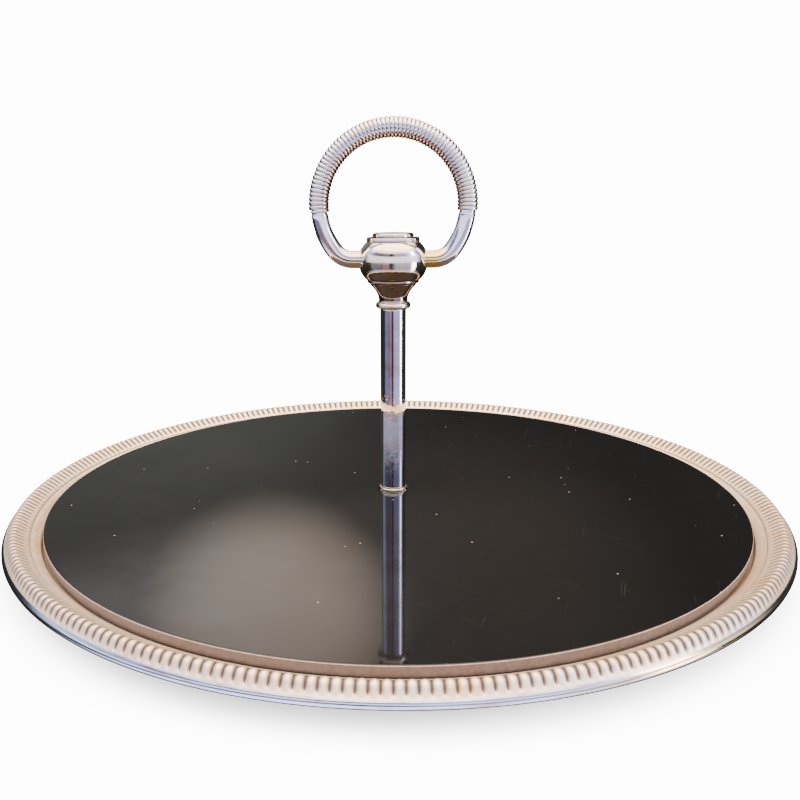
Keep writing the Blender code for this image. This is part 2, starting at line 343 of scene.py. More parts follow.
@dataclass(frozen=True)
class RimPlating(PlatedMetal):
    """The tray's plating: cream on the flutes, blue and mauve on the rolled edge, where the blue at
    the left and the pale front are painted reflection.

    Attributes:
        blue: Painted reflection on the roll at the left.
        pale: Painted reflection on the roll in front.
        mauve: Brown streaks along the roll.
        gold: Yellow on the roll at the right front.
        roll_radius: Where the roll starts, from the axis.
        roll_height: The level under which the roll lies.
        roll_polish: The roll's roughness as a share of the flutes'.
        blue_fade: Where along X the blue painted reflection starts and is full.
        gold_across: Where along X the yellow starts and is full.
        gold_depth: Where along Y the yellow starts and is full.
    """

    blue: Colour = (0.34, 0.42, 0.56)
    pale: Colour = (0.70, 0.82, 1.0)
    mauve: Colour = (0.52, 0.34, 0.33)
    gold: Colour = (1.0, 0.72, 0.24)
    roll_radius: float = 0.1586
    roll_height: float = 0.0120
    roll_polish: float = 0.40
    blue_fade: Point = (-0.055, -0.150)
    gold_across: Point = (0.02, 0.09)
    gold_depth: Point = (-0.06, -0.13)

    def paint(self, graph: Graph, shader: bpy.types.Node, place: Socket) -> None:
        """Wire the plating, bare and smoother on the roll than on the flutes."""
        super().paint(graph, shader, place)
        roll = self.roll(graph, place)
        graph.feed(shader.inputs["Metallic"], graph.remap(roll, 0.0, 1.0, self.metal, 1.0))
        rough = shader.inputs["Roughness"].links[0].from_socket
        polish = graph.remap(roll, 0.0, 1.0, 1.0, self.roll_polish)
        graph.feed(shader.inputs["Roughness"], graph.math("MULTIPLY", rough, polish))

    def roll(self, graph: Graph, place: Socket) -> Socket:
        """Return 1 on the rolled edge and 0 elsewhere."""
        across, depth, height = graph.parts(place)
        radius = graph.length(across, depth)
        outer = graph.remap(radius, self.roll_radius, self.roll_radius + 0.0006)
        low = graph.remap(height, self.roll_height + 0.0004, self.roll_height - 0.0004)
        return graph.math("MULTIPLY", outer, low)

    def tone(self, graph: Graph, place: Socket, clouds: Socket) -> Socket:
        """Return the plating's colour, with the roll's painted reflection, its yellow and its
        streaks.
        """
        colour = super().tone(graph, place, clouds)
        across, depth, _ = graph.parts(place)
        streaks = graph.noise(graph.stretched(place, (55, 55, 900)), 1.0, 4.0, 0.7)
        # Painted reflection on the roll: blue towards the left, pale in front.
        left = graph.remap(across, *self.blue_fade)
        golden = graph.math("MULTIPLY", graph.remap(across, *self.gold_across),
                            graph.remap(depth, *self.gold_depth))
        film = graph.mix(graph.math("MULTIPLY", left, 0.85), self.pale, self.blue)
        film = graph.mix(graph.math("MULTIPLY", golden, 0.9), film, self.gold)
        film = graph.mix(graph.remap(streaks, 0.48, 0.66), film, self.mauve)
        share = graph.math("MULTIPLY", self.roll(graph, place), 0.85)
        return graph.mix(share, colour, film)


@dataclass(frozen=True)
class KnobPlating(PlatedMetal):
    """The knob's plating, brown towards its underside: mostly painted reflection and shade, with
    some tarnish.

    Attributes:
        brown: Painted reflection and shade under the ball, with some tarnish.
        brown_top: The level where the browning starts.
        brown_bottom: The level where it is full.
        brown_foot: The level under which the metal is clean again.
        share: How much of the browning shows.
    """

    brown: Colour = (0.17, 0.11, 0.09)
    brown_top: float = 0.1115
    brown_bottom: float = 0.1080
    brown_foot: float = 0.0958
    share: float = 0.75

    def tone(self, graph: Graph, place: Socket, clouds: Socket) -> Socket:
        """Return the plating's colour, with the painted brown reflection and shade below the ball.
        """
        colour = super().tone(graph, place, clouds)
        height = graph.parts(place)[2]
        wander = graph.math("MULTIPLY_ADD", clouds, 0.002, height)
        # Painted reflection and shade: brown under the ball, fading out at the neck.
        below = graph.remap(wander, self.brown_top + 0.001, self.brown_bottom + 0.001)
        above = graph.remap(height, self.brown_foot - 0.0002, self.brown_foot + 0.0006)
        share = graph.math("MULTIPLY", graph.math("MULTIPLY", below, above), self.share)
        return graph.mix(share, colour, self.brown)


@dataclass(frozen=True)
class HandlePlating(PlatedMetal):
    """The handle's plating, worn through to brass where the stubs enter the knob.

    Attributes:
        brass: The metal under the plating.
        worn_from: How far from the axis the wear is full.
        worn_to: How far from the axis it has faded out.
        worn_height: The level above which nothing is worn.
        spared: Share of the wear on the left, which is worn least.
    """

    brass: Colour = (0.95, 0.70, 0.26)
    worn_from: float = 0.0175
    worn_to: float = 0.0230
    worn_height: float = 0.1175
    spared: float = 0.35

    def tone(self, graph: Graph, place: Socket, clouds: Socket) -> Socket:
        """Return the plating's colour, with brass showing near the knob."""
        colour = super().tone(graph, place, clouds)
        across, _, height = graph.parts(place)
        reach = graph.math("ABSOLUTE", across)
        wander = graph.math("MULTIPLY_ADD", clouds, 0.006, reach)
        worn = graph.remap(wander, self.worn_to + 0.003, self.worn_from + 0.003)
        low = graph.remap(height, self.worn_height + 0.002, self.worn_height)
        side = graph.remap(across, -0.001, 0.001, self.spared, 1.0)
        share = graph.math("MULTIPLY", graph.math("MULTIPLY", worn, low), side)
        return graph.mix(share, colour, self.brass)


@dataclass(frozen=True)
class WirePlating(PlatedMetal):
    """The wound wire, with a painted reflection: brown on the inside of the ring.

    Attributes:
        inside: Painted reflection, brown, on the inside of the ring.
        ring_height: Level of the ring's centre.
        ring_radius: Radius of the ring's centreline.
        fade: How far the browning takes to fade out.
    """

    inside: Colour = (0.50, 0.34, 0.27)
    ring_height: float = 0.1351
    ring_radius: float = 0.03035
    fade: float = 0.0020

    def tone(self, graph: Graph, place: Socket, clouds: Socket) -> Socket:
        """Return the wire's colour, with the painted brown reflection inside the ring."""
        colour = super().tone(graph, place, clouds)
        across, _, height = graph.parts(place)
        radius = graph.length(across, graph.math("SUBTRACT", height, self.ring_height))
        inner = graph.remap(radius, self.ring_radius - 0.3 * self.fade,
                            self.ring_radius - 1.3 * self.fade)
        return graph.mix(graph.math("MULTIPLY", inner, 0.8), colour, self.inside)


@dataclass(frozen=True)
class BlackGlass(Finish):
    """Polished black glass with a dusty haze that holds a painted reflection, a painted highlight
    on its edge, specks and short scratches.

    Attributes:
        depth: The glass itself.
        film: Dust and dried wiping marks, and the painted reflection in the haze.
        ground: The unpolished edge.
        arris_highlight: Painted highlight, a pale line along the top of the ground edge.
        dust_and_reflection_centre: Where the dust and the painted reflection are thickest.
        dust_and_reflection_reach: How far the dust and the painted reflection spread.
        polish: Roughness where the glass is clean.
        edge_radius: Radius of the disc.
        edge_top: Level above which the edge is polished.
        dust: Grains and scratches.
        scratched: Share of a scratch that shows.
        refraction: The glass's index.
    """

    depth: Colour = (0.0036, 0.0042, 0.0046)
    film: Colour = (0.026, 0.031, 0.038)
    ground: Colour = (0.130, 0.110, 0.110)
    arris_highlight: Colour = (0.62, 0.50, 0.46)
    dust_and_reflection_centre: Corner = (-0.062, -0.100, 0.0133)
    dust_and_reflection_reach: float = 0.095
    polish: float = 0.02
    edge_radius: float = 0.1451
    edge_top: float = 0.0128
    dust: Colour = (0.50, 0.47, 0.42)
    scratched: float = 0.03
    refraction: float = 1.38

    def paint(self, graph: Graph, shader: bpy.types.Node, place: Socket) -> None:
        """Wire the glass, its haze with the painted reflection, its specks, and its ground edge
        with the painted highlight into the shader.
        """
        # The haze is dust and a painted reflection, lighter at the near left and towards the left.
        dust_and_reflection = self.dust_and_reflection(graph, place)
        marks = graph.math("MAXIMUM", self.specks(graph, place), self.scratches(graph, place))
        colour = graph.mix(dust_and_reflection, self.depth, self.film)
        colour = graph.mix(marks, colour, self.dust)
        edge = self.ground_edge(graph, place)
        # Painted highlight: a pale line along the top of the ground edge.
        edge_with_highlight = graph.mix(graph.remap(graph.parts(place)[2], self.edge_top + 0.0001,
                                         self.edge_top + 0.0002), self.ground, self.arris_highlight)
        graph.feed(shader.inputs["Base Color"], graph.mix(edge, colour, edge_with_highlight))
        wiped = graph.noise(graph.stretched(place, (12, 160, 40), (0, 0, 24)), 1.0, 3.0)
        rough = graph.remap(wiped, 0.35, 0.75, self.polish, self.polish + 0.02)
        rough = graph.math("MULTIPLY_ADD", dust_and_reflection, 0.05, rough)
        rough = graph.math("MULTIPLY_ADD", edge, 0.40, rough)
        graph.feed(shader.inputs["Roughness"],
                   graph.math("MULTIPLY_ADD", marks, 0.5, rough, clamp=True))
        shader.inputs["IOR"].default_value = self.refraction
        graph.feed(shader.inputs["Normal"],
                   graph.bump(graph.noise(place, 9.0, 1.0), 0.08, 0.0004))

    def dust_and_reflection(self, graph: Graph, place: Socket) -> Socket:
        """Return how much dust film lies on the glass, with a painted reflection: most at the near
        left, more towards the left, a little all over.
        """
        feeds = {0: place, 1: self.dust_and_reflection_centre}
        apart = graph.node("ShaderNodeVectorMath", feeds, operation="DISTANCE").outputs[1]
        clouds = graph.remap(graph.noise(place, 26.0, 4.0, 0.55), 0.25, 0.75, 0.55, 1.0)
        near = graph.math("MULTIPLY", graph.remap(apart, self.dust_and_reflection_reach, 0.01), clouds)
        dust = graph.remap(graph.noise(place, 11.0, 5.0, 0.6), 0.30, 0.75, 0.10, 0.26)
        thin = graph.math("MULTIPLY", dust, graph.remap(graph.parts(place)[0], 0.07, -0.05,
                                                        0.25, 1.0))
        return graph.math("MAXIMUM", near, thin)

    def ground_edge(self, graph: Graph, place: Socket) -> Socket:
        """Return where the glass's rim is ground and not polished."""
        across, depth, height = graph.parts(place)
        radius = graph.length(across, depth)
        outside = graph.remap(radius, self.edge_radius - 0.0006, self.edge_radius - 0.0005)
        below = graph.remap(height, self.edge_top + 0.0004, self.edge_top + 0.0003)
        grain = graph.remap(graph.noise(place, 600.0, 3.0), 0.3, 0.7, 0.7, 1.0)
        return graph.math("MULTIPLY", graph.math("MULTIPLY", outside, below), grain)

    def specks(self, graph: Graph, place: Socket) -> Socket:
        """Return a few grains of dust, sparsely strewn."""
        cells = graph.node("ShaderNodeTexVoronoi", {"Vector": place, "Scale": 170.0})
        grain = graph.remap(cells.outputs["Distance"], 0.075, 0.030)
        chosen = graph.remap(graph.parts(cells.outputs["Color"])[0], 0.84, 0.88, 0.0, 0.7)
        return graph.math("MULTIPLY", grain, chosen)

    def scratches(self, graph: Graph, place: Socket) -> Socket:
        """Return short faint scratches that run two ways."""
        first = graph.noise(graph.stretched(place, (45, 2600, 400), (0, 0, 38)), 1.0, 1.0)
        second = graph.noise(graph.stretched(place, (2300, 50, 400), (0, 0, 17)), 1.0, 1.0)
        lines = graph.math("MAXIMUM", graph.remap(first, 0.745, 0.790),
                           graph.remap(second, 0.745, 0.790))
        return graph.math("MULTIPLY", lines, self.scratched)


@dataclass(frozen=True)
class MattMaterial(Finish):
    """A dull material with grain and wear, for felt, rubber and fibre.

    Attributes:
        base: The main colour.
        worn: The colour of worn or dusty places.
        grain: Grains per metre.
        relief: Height of the grain in metres.
        roughness: The main roughness.
        fuzz: Weight of the sheen, for felt.
    """

    base: Colour = (0.05, 0.05, 0.05)
    worn: Colour = (0.12, 0.11, 0.10)
    grain: float = 1500.0
    relief: float = 0.0001
    roughness: float = 0.8
    fuzz: float = 0.0

    def paint(self, graph: Graph, shader: bpy.types.Node, place: Socket) -> None:
        """Wire grain and wear into the shader."""
        grain = graph.noise(place, self.grain, 3.0, 0.7)
        wear = graph.remap(graph.noise(place, self.grain / 12.0, 4.0, 0.6), 0.45, 0.75)
        graph.feed(shader.inputs["Base Color"],
                   graph.mix(graph.math("MULTIPLY", wear, grain), self.base, self.worn))
        graph.feed(shader.inputs["Roughness"],
                   graph.remap(wear, 0.0, 1.0, self.roughness, self.roughness - 0.15))
        shader.inputs["Sheen Weight"].default_value = self.fuzz
        graph.feed(shader.inputs["Normal"], graph.bump(grain, 0.6, self.relief))


FLUTED_PLATING = RimPlating("fluted plating", bright=(1.0, 0.87, 0.70), warm=(1.0, 0.77, 0.52),
                            cool=(0.95, 0.87, 0.82), shade_and_grime_colour=(0.060, 0.044, 0.040), smooth=0.32,
                            dull=0.44, metal=0.75)
TUBE_CHROME = PlatedMetal("tube chrome", bright=(0.84, 0.83, 0.87), warm=(0.70, 0.56, 0.50),
                          cool=(0.66, 0.68, 0.82), patches=70.0, smooth=0.025, dull=0.06,
                          rubbed=0.03)
KNOB_METAL = KnobPlating("knob plating", bright=(0.96, 0.88, 0.78), warm=(0.94, 0.76, 0.50),
                         cool=(0.78, 0.80, 0.92), patches=60.0)
HANDLE_METAL = HandlePlating("handle plating", bright=(0.88, 0.87, 0.93), patches=55.0)
WIRE_METAL = WirePlating("winding wire", bright=(0.92, 0.91, 0.95), warm=(0.82, 0.72, 0.66),
                         shade_and_grime_colour=(0.045, 0.022, 0.030), patches=60.0, smooth=0.12, dull=0.22)
WASHER_BRASS = PlatedMetal("washer brass", bright=(0.93, 0.84, 0.62), warm=(0.85, 0.66, 0.36),
                           cool=(0.88, 0.82, 0.70), smooth=0.16, dull=0.32)
BUSH_BRASS = PlatedMetal("bush brass", bright=(0.92, 0.74, 0.38), warm=(0.70, 0.46, 0.20),
                         cool=(0.86, 0.70, 0.44), smooth=0.15, dull=0.35)
ROD_STEEL = PlatedMetal("rod steel", bright=(0.60, 0.60, 0.61), warm=(0.46, 0.38, 0.30),
                        cool=(0.52, 0.53, 0.57), smooth=0.28, dull=0.48)
ZINC_STEEL = PlatedMetal("zinc steel", bright=(0.66, 0.66, 0.64), warm=(0.56, 0.50, 0.38),
                         cool=(0.56, 0.60, 0.66), smooth=0.26, dull=0.46)
GLASS = BlackGlass("black glass")
FELT = MattMaterial("liner felt", base=(0.08, 0.10, 0.08), worn=(0.16, 0.18, 0.15),
                    roughness=0.95, fuzz=0.4)
FIBRE = MattMaterial("bush fibre", base=(0.72, 0.67, 0.54), worn=(0.58, 0.52, 0.40),
                     roughness=0.6)
RUBBER = MattMaterial("foot rubber", base=(0.030, 0.030, 0.031), worn=(0.14, 0.13, 0.12),
                      roughness=0.82)


# --------------------------------------------------------------------------- outlines and meshes


def arc(centre: Point, radii: Point, start_deg: float, end_deg: float, count: int) -> list[Point]:
    """Return points on an ellipse in the (radius, height) plane, both ends included.

    Args:
        centre: The middle of the ellipse.
        radii: Its half width and half height.
        start_deg: The first point's angle.
        end_deg: The last point's angle.
        count: How many points.

    Returns:
        The points in order.
    """
    step = math.radians(end_deg - start_deg) / (count - 1)
    angles = [math.radians(start_deg) + step * i for i in range(count)]
    return [(centre[0] + radii[0] * math.cos(a), centre[1] + radii[1] * math.sin(a))
            for a in angles]


def between(start: Point, end: Point, count: int) -> list[Point]:
    """Return count points strictly between two points."""
    shares = [(i + 1) / (count + 1) for i in range(count)]
    return [(start[0] + (end[0] - start[0]) * s, start[1] + (end[1] - start[1]) * s)
            for s in shares]


def rounded(corners: Sequence[Corner], steps: int = 4, closed: bool = True) -> list[Point]:
    """Return an outline with each corner rounded off.

    Args:
        corners: Radius, height and rounding length of each corner.
        steps: Segments in each rounding.
        closed: Whether the last corner joins the first.

    Returns:
        The rounded outline.
    """
    outline: list[Point] = []
    count = len(corners)
    for i, (r, z, cut) in enumerate(corners):
        corner = Vector((r, z))
        at_end = not closed and i in (0, count - 1)
        if cut == 0.0 or at_end:
            outline.append((r, z))
            continue
        arms = [Vector(corners[(i + way) % count][:2]) - corner for way in (-1, 1)]
        start, end = (corner + arm.normalized() * min(cut, arm.length * 0.49) for arm in arms)
        for k in range(steps + 1):
            s = k / steps
            spot = start * (1 - s) ** 2 + corner * 2 * s * (1 - s) + end * s ** 2
            outline.append((spot.x, spot.y))
    return outline


def held(outline: Sequence[Point], closed: bool) -> list[Point]:
    """Return an outline with a point close to both ends of each long straight run.

    The shading turns the corner inside these short stretches, so the long run stays true.

    Args:
        outline: The points.
        closed: Whether the last point joins the first.
    """
    points: list[Point] = []
    ends = [*outline[1:], outline[0]] if closed else outline[1:]
    for start, end in zip(outline, ends):
        points.append(start)
        length = math.dist(start, end)
        if length > LONG_RUN:
            for share in (HOLD / length, 1 - HOLD / length):
                points.append((start[0] + (end[0] - start[0]) * share,
                               start[1] + (end[1] - start[1]) * share))
    return points if closed else points + [outline[-1]]


def lathe(outline: Sequence[Point], steps: int, closed: bool = True, turn_deg: float = 360.0,
          shape: Shape | None = None) -> bmesh.types.BMesh:
    """Turn an outline about the Z axis.

    Args:
        outline: Points of (radius, height).
        steps: Segments round the axis.
        closed: Whether the outline joins its own start.  An open one ends on the axis.
        turn_deg: Less than a circle makes a split ring with a face at each end.
        shape: Gives the radius at an angle, a radius and a height.

    Returns:
        The turned solid.
    """
    bm = bmesh.new()
    whole = turn_deg == 360.0
    columns = steps if whole else steps + 1
    angles = [math.radians(turn_deg) * k / steps for k in range(columns)]
    rings = []
    for r, z in held(outline, closed):
        spots = [(shape(a, r, z) if shape else r, a) for a in (angles if r > 0.0 else angles[:1])]
        rings.append([bm.verts.new((q * math.cos(a), q * math.sin(a), z)) for q, a in spots])
    pairs = list(zip(rings, rings[1:]))
    if closed:
        pairs.append((rings[-1], rings[0]))
    for lower, upper in pairs:
        for k in range(steps):
            n = (k + 1) % columns
            spots = [lower[k % len(lower)], lower[n % len(lower)],
                     upper[n % len(upper)], upper[k % len(upper)]]
            bm.faces.new(list(dict.fromkeys(spots)))
    if not whole:
        bm.faces.new([ring[0] for ring in rings])
        bm.faces.new([ring[-1] for ring in rings])
    return bm


def sweep(stations: Sequence[tuple[Vector, Vector, float]], sides: int) -> bmesh.types.BMesh:
    """Skin circles along a path in the XZ plane and cap both ends.

    Args:
        stations: Centre, direction across the path in its plane, and radius.
        sides: Segments round the path.

    Returns:
        The swept solid.
    """
    bm = bmesh.new()
    loops = []
    for centre, across, radius in stations:
        loop = []
        for i in range(sides):
            turn = 2 * math.pi * i / sides
            offset = across * math.cos(turn) + Vector((0.0, 1.0, 0.0)) * math.sin(turn)
            loop.append(bm.verts.new(centre + offset * radius))
        loops.append(loop)
    for first, second in zip(loops, loops[1:]):
        for i in range(sides):
            j = (i + 1) % sides
            bm.faces.new((first[i], first[j], second[j], second[i]))
    bm.faces.new(loops[0])
    bm.faces.new(loops[-1])
    return bm


def to_object(bm: bmesh.types.BMesh, name: str, material: bpy.types.Material,
              smooth_deg: float = 32.0) -> bpy.types.Object:
    """Turn a bmesh into a smooth-shaded object with outward faces.

    Args:
        bm: The mesh, which is freed.
        name: The object's name.
        material: Its only material.
        smooth_deg: Edges sharper than this stay sharp.

    Returns:
        The object, linked to the scene.
    """
    bmesh.ops.recalc_face_normals(bm, faces=bm.faces)
    mesh = bpy.data.meshes.new(name)
    bm.to_mesh(mesh)
    bm.free()
    mesh.shade_smooth()
    mesh.set_sharp_from_angle(angle=math.radians(smooth_deg))
    mesh.materials.append(material)
    piece = bpy.data.objects.new(name, mesh)
    bpy.context.scene.collection.objects.link(piece)
    return piece


def mark_shade_and_grime(piece: bpy.types.Object, depth: Callable[[Vector], float]) -> None:
    """Store how much painted shade, with some grime, each vertex gets in a recess.

    Args:
        piece: The object to mark.
        depth: Gives 0 on open metal and 1 for full painted shade in a recess, from the vertex's
            place.
    """
    mark = piece.data.attributes.new(SHADE_AND_GRIME, "FLOAT", "POINT")
    mark.data.foreach_set("value", [depth(vertex.co) for vertex in piece.data.vertices])


def mount(piece: bpy.types.Object, body: Body, slot: str, *nodes: str) -> bpy.types.Object:
    """Let a piece ride on its body in place of CAD nodes, and report it.

    Args:
        piece: The finished piece, at the origin.
        body: The body that it rides on.
        slot: Not used.
        *nodes: The CAD nodes that it stands for.

    Returns:
        The same piece.
    """
    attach(piece, body.value)
    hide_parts(*nodes)
    LOG.info("%s: %d faces, for %s", piece.name, len(piece.data.polygons), ", ".join(nodes))
    return piece


# --------------------------------------------------------------------------- geometry node trees


@dataclass
class GrowthTree:
    """A Geometry Nodes tree that wraps a grid of points round a rule.

    Attributes:
        title: The tree's name.
        inputs: The name and socket type of each size, in order.
    """

    title: str
    inputs: Mapping[str, str]
    tree: bpy.types.NodeTree = field(init=False)
    graph: Graph = field(init=False)
    entry: bpy.types.Node = field(init=False)

    def __post_init__(self) -> None:
        """Make the empty tree with its named inputs."""
        self.tree = bpy.data.node_groups.new(self.title, "GeometryNodeTree")
        self.graph = Graph(self.tree)
        self.declare("Geometry", "INPUT", "Geometry")
        self.declare("Geometry", "OUTPUT", "Geometry")
        for name, kind in self.inputs.items():
            self.declare(name, "INPUT", kind)
        self.declare("Material", "INPUT", "Material")
        self.entry = self.graph.node("NodeGroupInput")

    def declare(self, name: str, way: str, kind: str) -> None:
        """Add a socket to the tree's interface."""
        self.tree.interface.new_socket(name, in_out=way, socket_type=f"NodeSocket{kind}")

    def __getitem__(self, name: str) -> Socket:
        """Return one of the tree's inputs."""
        return self.entry.outputs[name]

    def whole(self, operation: str, first: Any, second: Any) -> Socket:
        """Return the result of a whole-number operation."""
        made = self.graph.node("FunctionNodeIntegerMath", {0: first, 1: second},
                               operation=operation)
        return made.outputs[0]

    def grid(self, columns: Any, rows: Any) -> tuple[Socket, Socket, Socket]:
        """Lay out a grid to be wrapped.

        Args:
            columns: Vertices along the wrap.
            rows: Vertices across it.

        Returns:
            The grid, and each vertex's column and row.
        """
        made = self.graph.node("GeometryNodeMeshGrid", {"Vertices X": columns, "Vertices Y": rows})
        index = self.graph.node("GeometryNodeInputIndex").outputs[0]
        return (made.outputs["Mesh"], self.whole("DIVIDE_FLOOR", index, rows),
                self.whole("MODULO", index, rows))

    def close(self, mesh: Socket, place: Socket, shade_and_grime: Socket) -> bpy.types.NodeTree:
        """Move the grid's vertices to their places and finish the tree.

        Args:
            mesh: The grid.
            place: Each vertex's place.
            shade_and_grime: Each vertex's painted shade, with some grime, in a recess, from 0 to 1.

        Returns:
            The finished tree.
        """
        moved = self.graph.node("GeometryNodeSetPosition", {"Geometry": mesh, "Position": place})
        feeds = {"Geometry": moved.outputs[0], "Name": SHADE_AND_GRIME, "Value": shade_and_grime}
        marked = self.graph.node("GeometryNodeStoreNamedAttribute", feeds, data_type="FLOAT",
                                 domain="POINT")
        feeds = {"Geometry": marked.outputs[0], "Distance": 0.002 * MILLIMETRE}
        merged = self.graph.node("GeometryNodeMergeByDistance", feeds)
        real = self.graph.node("GeometryNodeRealizeInstances", {0: merged.outputs[0]})
        feeds = {"Geometry": real.outputs[0], "Material": self["Material"]}
        dressed = self.graph.node("GeometryNodeSetMaterial", feeds)
        self.graph.node("NodeGroupOutput", {0: dressed.outputs[0]})
        return self.tree

    def grow(self, host: bpy.types.Object, sizes: Mapping[str, Any],
             smooth_deg: float) -> bpy.types.Object:
        """Run the tree on a host and keep the result as a plain mesh.

        Args:
            host: The object that carries the modifier.
            sizes: A value for each named input.
            smooth_deg: Edges sharper than this stay sharp.

        Returns:
            The host, with the grown mesh as its own.
        """
        modifier = host.modifiers.new(self.title, "NODES")
        modifier.node_group = self.tree
        for socket in self.tree.interface.items_tree:
            if socket.in_out == "INPUT" and socket.name in sizes:
                modifier[socket.identifier] = sizes[socket.name]
        bpy.context.view_layer.update()
        grown = host.evaluated_get(bpy.context.evaluated_depsgraph_get())
        mesh = bpy.data.meshes.new_from_object(grown)
        host.modifiers.remove(modifier)
        bm = bmesh.new()
        bm.from_mesh(mesh)
        bmesh.ops.recalc_face_normals(bm, faces=bm.faces)
        bm.to_mesh(mesh)
        bm.free()
        mesh.shade_smooth()
        mesh.set_sharp_from_angle(angle=math.radians(smooth_deg))
        mesh.name = host.name
        host.data = mesh
        return host


def bare_host(name: str) -> bpy.types.Object:
    """Return an object with an empty mesh, to carry a tree."""
    host = bpy.data.objects.new(name, bpy.data.meshes.new(f"{name}_host"))
    bpy.context.scene.collection.objects.link(host)
    return host


def fluted_turning() -> GrowthTree:
    """Return the tree that turns a section about Z and presses flutes into it.

    The host is the section, a row of vertices in the XZ plane.  Its attribute PRESS says which way
    and how far a vertex sinks in the valley between two flutes, and SHADE_AND_GRIME its painted
    shade and grime.
    """
    growth = GrowthTree("fluted turning", {"Flutes": "Int", "Steps per Flute": "Int",
                                           "Depth": "Float", "Crown": "Float",
                                           "Crowding": "Float"})
    graph = growth.graph
    section = growth["Geometry"]
    size = graph.node("GeometryNodeAttributeDomainSize", {0: section}, component="MESH")
    turns = growth.whole("MULTIPLY", growth["Flutes"], growth["Steps per Flute"])
    mesh, column, row = growth.grid(growth.whole("ADD", turns, 1), size.outputs["Point Count"])

    def sampled(kind: str, value: Socket) -> Socket:
        """Return a value of the section's vertex in this row."""
        feeds = {"Geometry": section, "Value": value, "Index": row}
        return graph.node("GeometryNodeSampleIndex", feeds, data_type=kind).outputs[0]

    def stored(name: str, kind: str) -> Socket:
        """Return a stored attribute of the section's vertex in this row."""
        value = graph.node("GeometryNodeInputNamedAttribute", {"Name": name}, data_type=kind)
        return sampled(kind, value.outputs[0])

    travel = graph.math("DIVIDE", column, growth["Steps per Flute"])
    share = graph.math("FRACT", travel)
    sway = graph.math("SINE", graph.math("MULTIPLY", share, math.tau))
    crowded = graph.math("MULTIPLY", sway, growth["Crowding"])
    share = graph.math("SUBTRACT", share, graph.math("DIVIDE", crowded, math.tau))
    travel = graph.math("ADD", graph.math("FLOOR", travel), share)
    angle = graph.math("DIVIDE", graph.math("MULTIPLY", travel, math.tau), growth["Flutes"])
    wave = graph.math("ABSOLUTE", graph.math("SINE", graph.math("MULTIPLY", share, math.pi)))
    valley = graph.math("SUBTRACT", 1.0, graph.math("POWER", wave, growth["Crown"]))

    place = sampled("FLOAT_VECTOR", graph.node("GeometryNodeInputPosition").outputs[0])
    press = stored(PRESS, "FLOAT_VECTOR")
    sink = graph.math("MULTIPLY", valley, growth["Depth"])
    sunk = graph.node("ShaderNodeVectorMath", {0: press, 3: sink}, operation="SCALE").outputs[0]
    place = graph.node("ShaderNodeVectorMath", {0: place, 1: sunk}, operation="ADD").outputs[0]
    turned = graph.node("ShaderNodeVectorRotate", {"Vector": place, "Angle": angle},
                        rotation_type="Z_AXIS")
    reach = graph.node("ShaderNodeVectorMath", {0: press}, operation="LENGTH").outputs[1]
    # Painted shade, with some grime, in the valleys between flutes.
    dark = graph.math("MULTIPLY", graph.math("MULTIPLY", valley, VALLEY_SHADE_AND_GRIME), reach)
    shade_and_grime = graph.math("ADD", dark, stored(SHADE_AND_GRIME, "FLOAT"), clamp=True)
    growth.close(mesh, turned.outputs[0], shade_and_grime)
    return growth


def wound_wire() -> GrowthTree:
    """Return the tree that winds a wire round a bent rod.

    The rod's centreline is a circle in the XZ plane.  The wire's section is an oval that narrows
    to a point at both ends, so that the skin is closed.
    """
    growth = GrowthTree("wound wire", {"Turns": "Int", "Steps per Turn": "Int", "Sides": "Int",
                                       "Ring Radius": "Float", "Ring Height": "Float",
                                       "Wrap Radius": "Float", "Wire Height": "Float",
                                       "Wire Width": "Float", "Start": "Float", "End": "Float",
                                       "Taper Steps": "Float", "Squareness": "Float"})
    graph = growth.graph
    last = growth.whole("MULTIPLY", growth["Turns"], growth["Steps per Turn"])
    mesh, column, row = growth.grid(growth.whole("ADD", last, 1),
                                    growth.whole("ADD", growth["Sides"], 1))
    turn = graph.math("MULTIPLY", graph.math("DIVIDE", column, growth["Steps per Turn"]), math.tau)
    lag = graph.math("MULTIPLY", graph.math("COSINE", turn), growth["Steps per Turn"])
    lag = graph.math("MULTIPLY_ADD", lag, growth["Squareness"], column)
    share = graph.math("DIVIDE", lag, last)
    span = graph.math("SUBTRACT", growth["End"], growth["Start"])
    heading = graph.math("MULTIPLY_ADD", share, span, growth["Start"])
    around = graph.math("MULTIPLY", graph.math("DIVIDE", row, growth["Sides"]), math.tau)
    nearest = graph.math("MINIMUM", column, growth.whole("SUBTRACT", last, column))
    taper = graph.math("DIVIDE", nearest, growth["Taper Steps"], clamp=True)
    taper = graph.math("SQRT", taper)
    top = graph.math("COSINE", around)
    rise = graph.math("MULTIPLY", graph.math("MULTIPLY", growth["Wire Height"], taper), top)
    lift = graph.math("ADD", growth["Wrap Radius"], rise)
    radial = graph.math("MULTIPLY_ADD", lift, graph.math("COSINE", turn), growth["Ring Radius"])
    fan = graph.math("DIVIDE", radial, growth["Ring Radius"])
    width = graph.math("MULTIPLY", graph.math("MULTIPLY", growth["Wire Width"], taper), fan)
    slide = graph.math("MULTIPLY", width, graph.math("SINE", around))
    cosine = graph.math("COSINE", heading)
    sine = graph.math("SINE", heading)
    across = graph.math("SUBTRACT", graph.math("MULTIPLY", radial, cosine),
                        graph.math("MULTIPLY", slide, sine))
    upward = graph.math("ADD", graph.math("MULTIPLY", radial, sine),
                        graph.math("MULTIPLY", slide, cosine))
    height = graph.math("ADD", growth["Ring Height"], upward)
    depth = graph.math("MULTIPLY", lift, graph.math("SINE", turn))
    place = graph.node("ShaderNodeCombineXYZ", {0: across, 1: depth, 2: height}).outputs[0]
    # Painted shade between the turns of the wire, darkest away from its crown.
    growth.close(mesh, place, graph.remap(top, 0.92, 0.40))
    return growth


